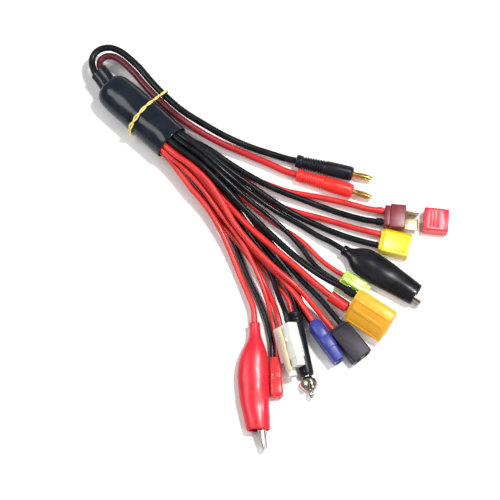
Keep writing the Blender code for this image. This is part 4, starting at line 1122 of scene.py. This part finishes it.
ON_PLUG["small_yellow"] = two_pole("small_keyed", "small_yellow", "yellow",
                                   (18.2, 15.4, 8.0, 1.2, 2.4), 7.2, 3.5, 8.5, False)
ON_PLUG["large_yellow"] = two_pole("large_keyed", "large_yellow", "amber",
                                   (25.6, 20.6, 10.4, 1.3, 3.0), 10.9, 4.4, 11.0, True)

# %% [markdown]
# ## Plain black plug
#
# A flat housing with a waisted rear, fine ribs across its end face, and two
# deep slots that each hold a folded metal contact.

# %% Black plug
CONTACT_ROWS = (-3.0, 3.0)
black_stations = [(0, 9.6, 6.0), (0.2, 10.6, 7.0), (1.2, 10.8, 7.2), (2.0, 12.4, 8.4),
                  (2.5, 13.0, 9.0), (22.6, 13.0, 9.0), (23.3, 12.8, 8.8), (23.6, 12.3, 8.3)]
black_plug = drawn("plain_plug_shell", black_stations, "box", corner=0.9)
carve(black_plug, *[block("contact_slot", (12.0, 25.0), (y - 1.6, y + 1.6), (-2.8, 2.8))
                    for y in CONTACT_ROWS])
carve(black_plug, *[block("end_rib", (23.35, 24.0), (-7.0, 7.0), (z - 0.14, z + 0.14))
                    for z in (-3.8, -3.3, 3.3, 3.8)])
soften(black_plug, 0.14)
done(black_plug, "black_plug", "black_nylon", "black_plug_housing")
ON_PLUG["black_plug"] = [black_plug]
for k, y in enumerate(CONTACT_ROWS):
    leaf = plate(f"plain_plug_contact_{k + 1}",
                 [(13, y - 1.0), (22, y - 1.0), (23, y - 0.6), (23, y - 0.3), (22, y - 0.6),
                  (13, y - 0.6)], -2.2, 2.2)
    soften(leaf, 0.08, 1)
    ON_PLUG["black_plug"].append(done(leaf, "black_plug", "brass"))

# %% [markdown]
# ## Blue plug
#
# Two round bays side by side, each with a gold bullet inside, and a wider
# collar behind that clips on as a cover.

# %% Blue plug
BAY = 2.9                            # bay's middle from the plug's, mm
blue_stations = [(0, 9.4, 5.4), (0.3, 10.6, 6.4), (1.2, 10.8, 6.6), (2.2, 12.0, 7.4), (2.8, 12.6, 7.8),
                 (11.0, 12.6, 7.8), (11.2, 12.1, 7.3), (11.6, 12.1, 7.3), (11.8, 12.6, 7.8),
                 (18.8, 12.6, 7.8), (19.2, 11.8, 7.1), (27.0, 11.6, 7.0), (27.5, 11.2, 6.6)]
blue = drawn("two_bay_plug_shell", blue_stations, "box", corner=1.6, steps=5)
carve(blue, *[turned("bay", [(18.0, 4.7), (29.0, 4.7)], y, 32) for y in (BAY, -BAY)])
carve(blue, *[turned("seat", [(15.7, 4.1), (18.5, 4.1)], y, 28) for y in (BAY, -BAY)])
carve(blue, *[block("side_channel", (3.6, 10.2), (y - 0.5, y + 0.5), (z - 0.35, z + 0.35))
              for y in (-1.6, 1.6) for z in (-3.9, 3.9)])
soften(blue, 0.14)
done(blue, "blue_plug", "blue", "blue_plug_housing")
ON_PLUG["blue_plug"] = [blue]
for side, y in (("left", BAY), ("right", -BAY)):
    bullet = turned(f"blue_plug_{side}_gold_bullet",
                    [(16.0, 3.5), (23.6, 3.5), (23.8, 3.2), (24.2, 3.2), (24.4, 3.5), (25.2, 3.1),
                     (25.6, 2.2)], y, 28)
    carve(bullet, block("split", (19.5, 27.0), (y - 0.18, y + 0.18), (-3, 3)))
    ON_PLUG["blue_plug"].append(done(bullet, "blue_plug", "gold",
                                     f"blue_plug_{side}_bullet", angle=40))
print("blue plug:", len(ON_PLUG["blue_plug"]), "pieces")

# %% [markdown]
# ## Latched two-way plugs
#
# The small lime plug and the larger white one share a design: a square nose
# and a round nose, so that it can't go in reversed, and a lever on a post that
# rocks to let go. The housing is made of clear-ish nylon, so light goes a
# little way into it. The lever has a finger pad with ridges at its rear and a
# hook at its front.

# %% Housings and levers


def latched(name, plug, body_finish, lever_finish, size, lever_body):
    """Housing with two noses and a rocking lever, in mm."""
    length, width, height, nose = size
    mid = width / 4
    reach = height - 1.2
    housing = drawn(name + "_shell", [(0, width - 1.4, height - 1.4), (0.1, width - 0.8, height - 0.8),
                                      (0.6, width, height), (length - 0.3, width, height),
                                      (length, width - 0.6, height - 0.6)], "box", corner=0.6)
    square_end = length + nose * 0.55
    noses = [drawn("square_nose", [(length - 1.5, reach, reach, mid),
                                   (square_end, reach - 0.1, reach - 0.1, mid)], "box", corner=0.5),
             turned("round_nose", [(length - 1.5, reach), (length + nose, reach - 0.1)], -mid, 32)]
    pivot = length * 0.45
    top = height / 2
    posts = [block("post", (pivot - 1, pivot + 1), (y - 0.6, y + 0.6), (top - 0.4, top + 1.2), 0.2)
             for y in (-2.4, 2.4)]
    carve(housing, *noses, *posts, operation="UNION")
    holes = [turned("hole", [(length - 3, reach - 2.0), (end + 1, reach - 2.0)], y)
             for y, end in ((mid, square_end), (-mid, length + nose))]
    wire_holes = [turned("wire_hole", [(-1, reach - 1.6), (1.4, reach - 1.6)], y)
                  for y in (mid, -mid)]
    seam = [block("seam", (1.6, length - 1.2), (-0.22, 0.22), (z - 0.3, z + 0.3))
            for z in (-height / 2, height / 2)]
    windows = [block("lock_window", (length * 0.62, length * 0.62 + 2.2), (y - 0.9, y + 0.9),
                     (-height / 2 - 0.5, -height / 2 + 0.5)) for y in (mid, -mid)]
    carve(housing, *holes, *wire_holes, *seam, *windows)
    soften(housing, 0.15)
    done(housing, plug, body_finish, plug + "_housing")

    low = top + GAP
    end = length + nose * 0.7
    outline = [(1.5, low + 1.5), (2.6, low + 1.2), (pivot - 1.4, low + 0.55), (pivot - 0.6, low + 0.1),
               (pivot, low), (pivot + 0.6, low + 0.1), (pivot + 1.4, low + 0.5),
               (end - 2.2, low + 0.5), (end - 1.8, low - 0.5), (end - 0.7, low - 0.5),
               (end - 0.1, low + 0.3), (end, low + 0.8), (end, low + 1.5), (end - 0.6, low + 1.6),
               (pivot + 1.5, low + 1.6), (pivot, low + 1.9), (pivot - 1.5, low + 1.7)]
    for ridge in range(3):
        x = pivot - 2.4 - 1.1 * ridge
        rise = low + 1.78 + 0.16 * ridge
        outline += [(x, rise), (x - 0.15, rise + 0.3), (x - 0.5, rise + 0.32), (x - 0.65, rise + 0.06)]
    outline += [(1.6, low + 2.4)]
    lever = plate(name + "_lever", outline, -1.5, 1.5)
    lever.data.transform(Matrix.Rotation(QUARTER, 4, "X"))
    soften(lever, 0.14)
    done(lever, plug, lever_finish, plug + "_latch", body=lever_body)

    contacts = []
    for y, side in ((mid, "square"), (-mid, "round")):
        bore = reach - 2.3
        front = length + nose * 0.35
        contact = turned(f"{name}_{side}_contact",
                         [(length - 2.8, bore), (length + nose * 0.3, bore), (front, bore - 0.3),
                          (front, bore - 0.9), (length - 1.0, bore - 0.9)], y)
        contacts.append(done(contact, plug, "gold", angle=40))
    return [housing, lever, *contacts]


ON_PLUG["lime_plug"] = latched("lime_two_way", "lime_plug", "lime", "lime",
                               (15.0, 11.4, 5.8, 5.0), "lime_latch")
ON_PLUG["latch_plug"] = latched("white_two_way", "latch_plug", "white", "ivory",
                                (21.0, 14.4, 7.0, 9.0), "white_latch")
print("lime lever middle, m:", [round(v, 4) for v in box_middle("lime_plug_latch")])

# %% [markdown]
# ## Small red plug
#
# The smallest plug is slim, with rounded shoulders and two little windows
# where the contacts' spring tongues show.

# %% Small red plug
HOLE_ROWS = (-1.5, 1.5)
small_red = drawn("small_two_way_shell", [(0, 4.6, 3.8), (0.2, 5.4, 4.6), (3.4, 5.6, 4.8), (4.4, 6.7, 5.7),
                                          (12.0, 7.0, 5.9), (21.0, 7.4, 6.0), (22.6, 7.0, 5.7),
                                          (23.6, 6.2, 5.0), (23.8, 5.6, 4.6)],
                  "box", corner=0.9, steps=4)
carve(small_red, *[block("hole", (15, 25), (y - 0.75, y + 0.75), (-0.75, 0.75)) for y in HOLE_ROWS],
      *[block("window", (9.6, 11.6), (y - 0.55, y + 0.55), (2.3, 3.2)) for y in HOLE_ROWS],
      block("top_step", (12.6, 13.1), (-2.6, 2.6), (2.7, 3.2)))
soften(small_red, 0.12)
done(small_red, "small_red", "red_nylon", "small_red_housing")
ON_PLUG["small_red"] = [small_red]
for k, y in enumerate(HOLE_ROWS):
    pin = block(f"small_two_way_contact_{k + 1}", (15.2, 22.0), (y - 0.32, y + 0.32), (-0.32, 0.32), 0.1)
    soften(pin, 0.08, 1)
    ON_PLUG["small_red"].append(done(pin, "small_red", "gold"))

# %% [markdown]
# ## Igniter socket
#
# A round grip with a ribbed collar holds a bright metal cup. The cup is slit
# into sprung lobes that grip a glow plug, and a sprung contact stands out of
# its middle. The contact slides on its joint, so its coil spring sits behind
# its head, inside the cup.

# %% Igniter grip, cup and contact
rings = [(0.5, 5.4), (0.0, 5.8), (0.0, 7.4), (0.5, 8.7), (1.9, 8.8), (2.2, 7.9), (3.3, 7.9),
         (3.6, 8.7), (5.4, 8.8), (5.8, 8.1), (6.2, 7.4), (7.2, 7.5), (7.6, 7.9), (20.0, 8.0),
         (36.8, 8.15), (38.0, 8.0), (38.7, 7.2), (38.8, 6.4), (38.6, 5.6), (31.0, 5.6)]
grip = turned("igniter_round_grip", rings, sides=36)
soften(grip, 0.1, 1, 28)
done(grip, "igniter", "black_grip", "igniter_grip", angle=40)
cup_rings = [(30.6, 4.4, 4.4), (30.8, 4.8, 4.8), (39.6, 4.8, 4.8), (40.2, 5.6, 5.5), (41.0, 7.6, 7.0),
             (42.0, 9.3, 8.0), (43.4, 10.3, 8.4), (44.8, 10.2, 8.3), (46.0, 9.3, 7.9),
             (46.9, 8.0, 7.2), (47.0, 7.2, 6.6), (46.6, 6.4, 6.0), (41.8, 6.6, 6.0),
             (40.8, 3.8, 3.8), (40.4, 3.4, 3.4), (33.0, 3.4, 3.4)]
cup = drawn("igniter_slit_cup", cup_rings, sides=40)
carve(cup, block("slit", (42.2, 48.0), (-0.95, 0.95), (-5, 5)),
      block("slit", (42.4, 48.0), (-6, 6), (-0.5, 0.5)))
soften(cup, 0.09, 2, 30)
done(cup, "igniter", "nickel", "igniter_socket", angle=40)
tip_rings = [(36.4, 2.0), (36.6, 2.4), (46.6, 2.5), (47.4, 2.5), (48.4, 2.6), (48.8, 3.0),
             (50.4, 3.0), (51.4, 2.7), (52.1, 2.0), (52.4, 1.2)]
tip = turned("igniter_centre_contact", tip_rings, sides=32)
soften(tip, 0.06, 1, 30)
done(tip, "igniter", "nickel", "igniter_contact", body="igniter_tip", angle=40)
ON_PLUG["igniter"] = [grip, cup, tip]

# %% [markdown]
# ## Crocodile clips
#
# Each clip is pressed sheet steel: a fixed jaw crimped to the wire and a
# moving jaw on a pin, with fine teeth at the tip. A soft vinyl boot is pulled
# over the whole clip. The boot is a subdivided tube with a cuff at the rear, a
# turned-in mouth and the crease that the clip's shoulder pushes into it.

# %% Boots, jaws and pivot pins
JAW_LENGTH = 45.0                    # along a jaw's own outline, before it is stretched to fit
JAW_PIVOT = 17.0
PIVOT_SIDE = 2.0                     # pivot from the clip's middle line
JAW_HALF = 2.4                       # half of a jaw's height
JAW_REAR = 0.8                       # clearance behind the jaws, inside the boot
TEETH = (38.2, 44.6)                 # where the teeth start and end
TOOTH = 0.42
TOOTH_COUNT = 8


def teeth(y, depth):
    """A row of saw teeth, from the tip backwards, as outline points."""
    start, end = TEETH
    step = (end - start) / TOOTH_COUNT
    points = []
    for k in range(TOOTH_COUNT):
        points += [(start + k * step, y), (start + (k + 0.5) * step, y + depth)]
    return points[::-1]


def jaw(name, outline, side, rear, stretch):
    """One pressed jaw: the outline cut from plate, then folded edges softened."""
    points = [(rear + stretch * x, side * y) for x, y in outline]
    return soften(plate(name, points, -JAW_HALF, JAW_HALF), 0.22, 2, 30)


def clip(name, side, lean, cavity, reach, boot_finish):
    """Boot, jaws and pin of one crocodile clip, in mm; the boot is hollow from cavity on."""
    outline = [(0.0, 5.2, 5.2, 0.0), (0.1, 6.0, 6.0, 0.0), (0.5, 6.5, 6.5, 0.0), (1.5, 6.6, 6.6, 0.0),
               (2.2, 6.2, 6.2, 0.0)]
    outline += [(cavity * part, w, h, shift) for part, w, h, shift in (
        (0.17, 6.3, 6.3, 0.0), (0.29, 6.9, 6.7, 0.0), (0.40, 9.4, 7.9, 0.1), (0.52, 12.9, 9.3, 0.3),
        (0.72, 16.9, 10.5, 0.6), (1.0, 18.3, 11.0, 1.0))]
    outline += [(cavity + x, w, h, shift) for x, w, h, shift in (
        (6.0, 18.3, 11.0, 1.0), (12.0, 17.9, 11.0, 0.95), (18.0, 16.9, 10.8, 0.85),
        (26.0, 15.4, 10.3, 0.5), (32.0, 14.3, 9.8, 0.18), (34.2, 13.9, 9.5, 0.1),
        (34.9, 13.5, 9.1, 0.1), (34.9, 12.0, 7.7, 0.1), (34.0, 11.3, 7.1, 0.1),
        (26.0, 13.0, 7.9, 0.5), (17.0, 14.6, 8.4, 0.9), (7.0, 15.7, 8.6, 1.0),
        (2.0, 13.4, 8.2, 0.9), (0.6, 9.0, 6.0, 0.9))]
    stations = [(x, w, h, -side * lean * shift) for x, w, h, shift in outline]
    boot = drawn(name + "_vinyl_boot", stations, "box", corner=2.3, steps=3)
    smooth(boot, 2)
    for vertex in boot.data.vertices:
        x, y, z = (v / MM for v in vertex.co)
        crease = math.exp(-((x - cavity - 4.0 - 0.35 * abs(y)) / 3.2) ** 2) * (abs(z) > 2.5)
        dent = math.exp(-((x - cavity - 21.0) / 7.0) ** 2) * math.exp(-(y / 5.0) ** 2) * (abs(z) > 4.2)
        vertex.co.z -= math.copysign(0.12 * crease + 0.35 * dent, z) * MM
    ripple(boot, 9.0, 0.3)
    pieces = [done(boot, name, boot_finish, name + "_boot", angle=60)]
    rear, stretch = cavity + JAW_REAR, (reach - cavity) / JAW_LENGTH
    fixed = [(0, 3.9), (8, 4.2), (16, 4.4), (35, 4.3), (41, 4.5), (43.6, 4.35), (45, 4.0), (45, 3.55)]
    fixed += teeth(3.57, TOOTH) + [(32, 3.55), (28, 4.0), (16, 3.9), (0, 3.5)]
    moving = [(0, -5.8), (4, -4.3), (8, -2.6), (12, -1.3), (16, -0.5), (24, -1.1), (31, -1.1), (36, -0.3),
              (40, 0.8), (43.6, 1.7), (45, 2.4), (45, 3.25)]
    moving += teeth(3.23, -TOOTH)
    moving += [(32, 3.25), (28, 2.6), (22, 2.4), (19, 3.2), (15, 3.2), (12, 1.0), (6, -2.2),
               (1, -4.6)]
    bodies = ((f"{name}_fixed_jaw", fixed, "loom"), (f"{name}_moving_jaw", moving, name[:-4] + "jaw"))
    for node, shape, body in bodies:
        steel = jaw(node + "_steel", shape, side, rear, stretch)
        pieces.append(done(steel, name, "steel", node, body=body))
    heads = ((-3.3, 1.4), (-3.1, 1.9), (-2.6, 1.9), (-2.5, 1.2), (2.5, 1.2), (2.6, 1.9), (3.1, 1.9),
             (3.3, 1.4))
    pin = turned(name + "_pivot_pin", heads, sides=20)
    at = Vector((rear + stretch * JAW_PIVOT, side * PIVOT_SIDE, 0)) * MM
    pin.data.transform(Matrix.Translation(at) @ Matrix.Rotation(-QUARTER, 4, "Y"))
    pieces.append(done(pin, name, "nickel", angle=40))
    return pieces


ON_PLUG["black_clip"] = clip("black_clip", -1, 0.3, 16.5, 55.1, "black_boot")
ON_PLUG["red_clip"] = clip("red_clip", 1, 2.0, 29.0, 74.2, "red_boot")
print("clip reach, mm:", [round(v / MM, 1) for v in ON_PLUG["red_clip"][0].dimensions])

# %% [markdown]
# ## Shrink sleeves on the wires
#
# Short sleeves cover the solder joints just behind some plugs. Each one follows
# its own wire, a little wider than it, so it stays round the wire in the bend.

# %% Sleeves behind the plugs


def shrink_end(name, wire, back, length, grow, material, slot):
    """A short shrink sleeve round the last stretch of a wire, just behind its plug."""
    _, thick, line = CORDS[wire]
    run = distances(line)
    left = run[-1] - run
    part = line[(left >= back) & (left <= back + length)]
    radius = thick / 2 + grow
    tube = cord_along(name, part, radius, FINISH[material], resolution=5)
    tube = as_mesh(tube)
    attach(tube, "loom")
    return tube


SLEEVES = {
    "large_yellow_red_wire": ("large_yellow", 1.0, 13.0, 1.5, "red_wire", "red_silicone"),
    "large_yellow_black_wire": ("large_yellow", 0.5, 7.0, 0.5, "black_wire", "black_silicone"),
    "tee_red_wire": ("tee_plug", 0.5, 5.0, 0.4, "red_wire", "red_silicone"),
    "tee_black_wire": ("tee_plug", 0.5, 5.0, 0.4, "black_wire", "black_silicone"),
}
for wire, (plug, back, length, grow, material, slot) in SLEEVES.items():
    made = shrink_end(wire + "_shrink", wire, back, length, grow, material, slot)
    ON_PLUG[plug].append(made)

# %% [markdown]
# ## Each wire's length
#
# Every wire is a soft cord of a fixed length. For each one the cell looks up its
# slot in the hub's mouth and the pieces on its end, and prints its length.

SLOTS_IN_MOUTH = slot_positions()
for wire_name, (cord, thick, fine_line) in CORDS.items():
    if wire_name in WIRES:
        y, z = SLOTS_IN_MOUTH[wire_name]
        plug = WIRES[wire_name][4]
        end, pieces = "connector", ON_PLUG[plug][:1] if plug.endswith("clip") else ON_PLUG[plug]
    else:
        end, pieces = "plug", ON_PLUG[SUPPLY[wire_name][2]]
    round(run_length(fine_line) * MM, 3)
    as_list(pieces)
    print(wire_name, "mm:", round(run_length(fine_line)))
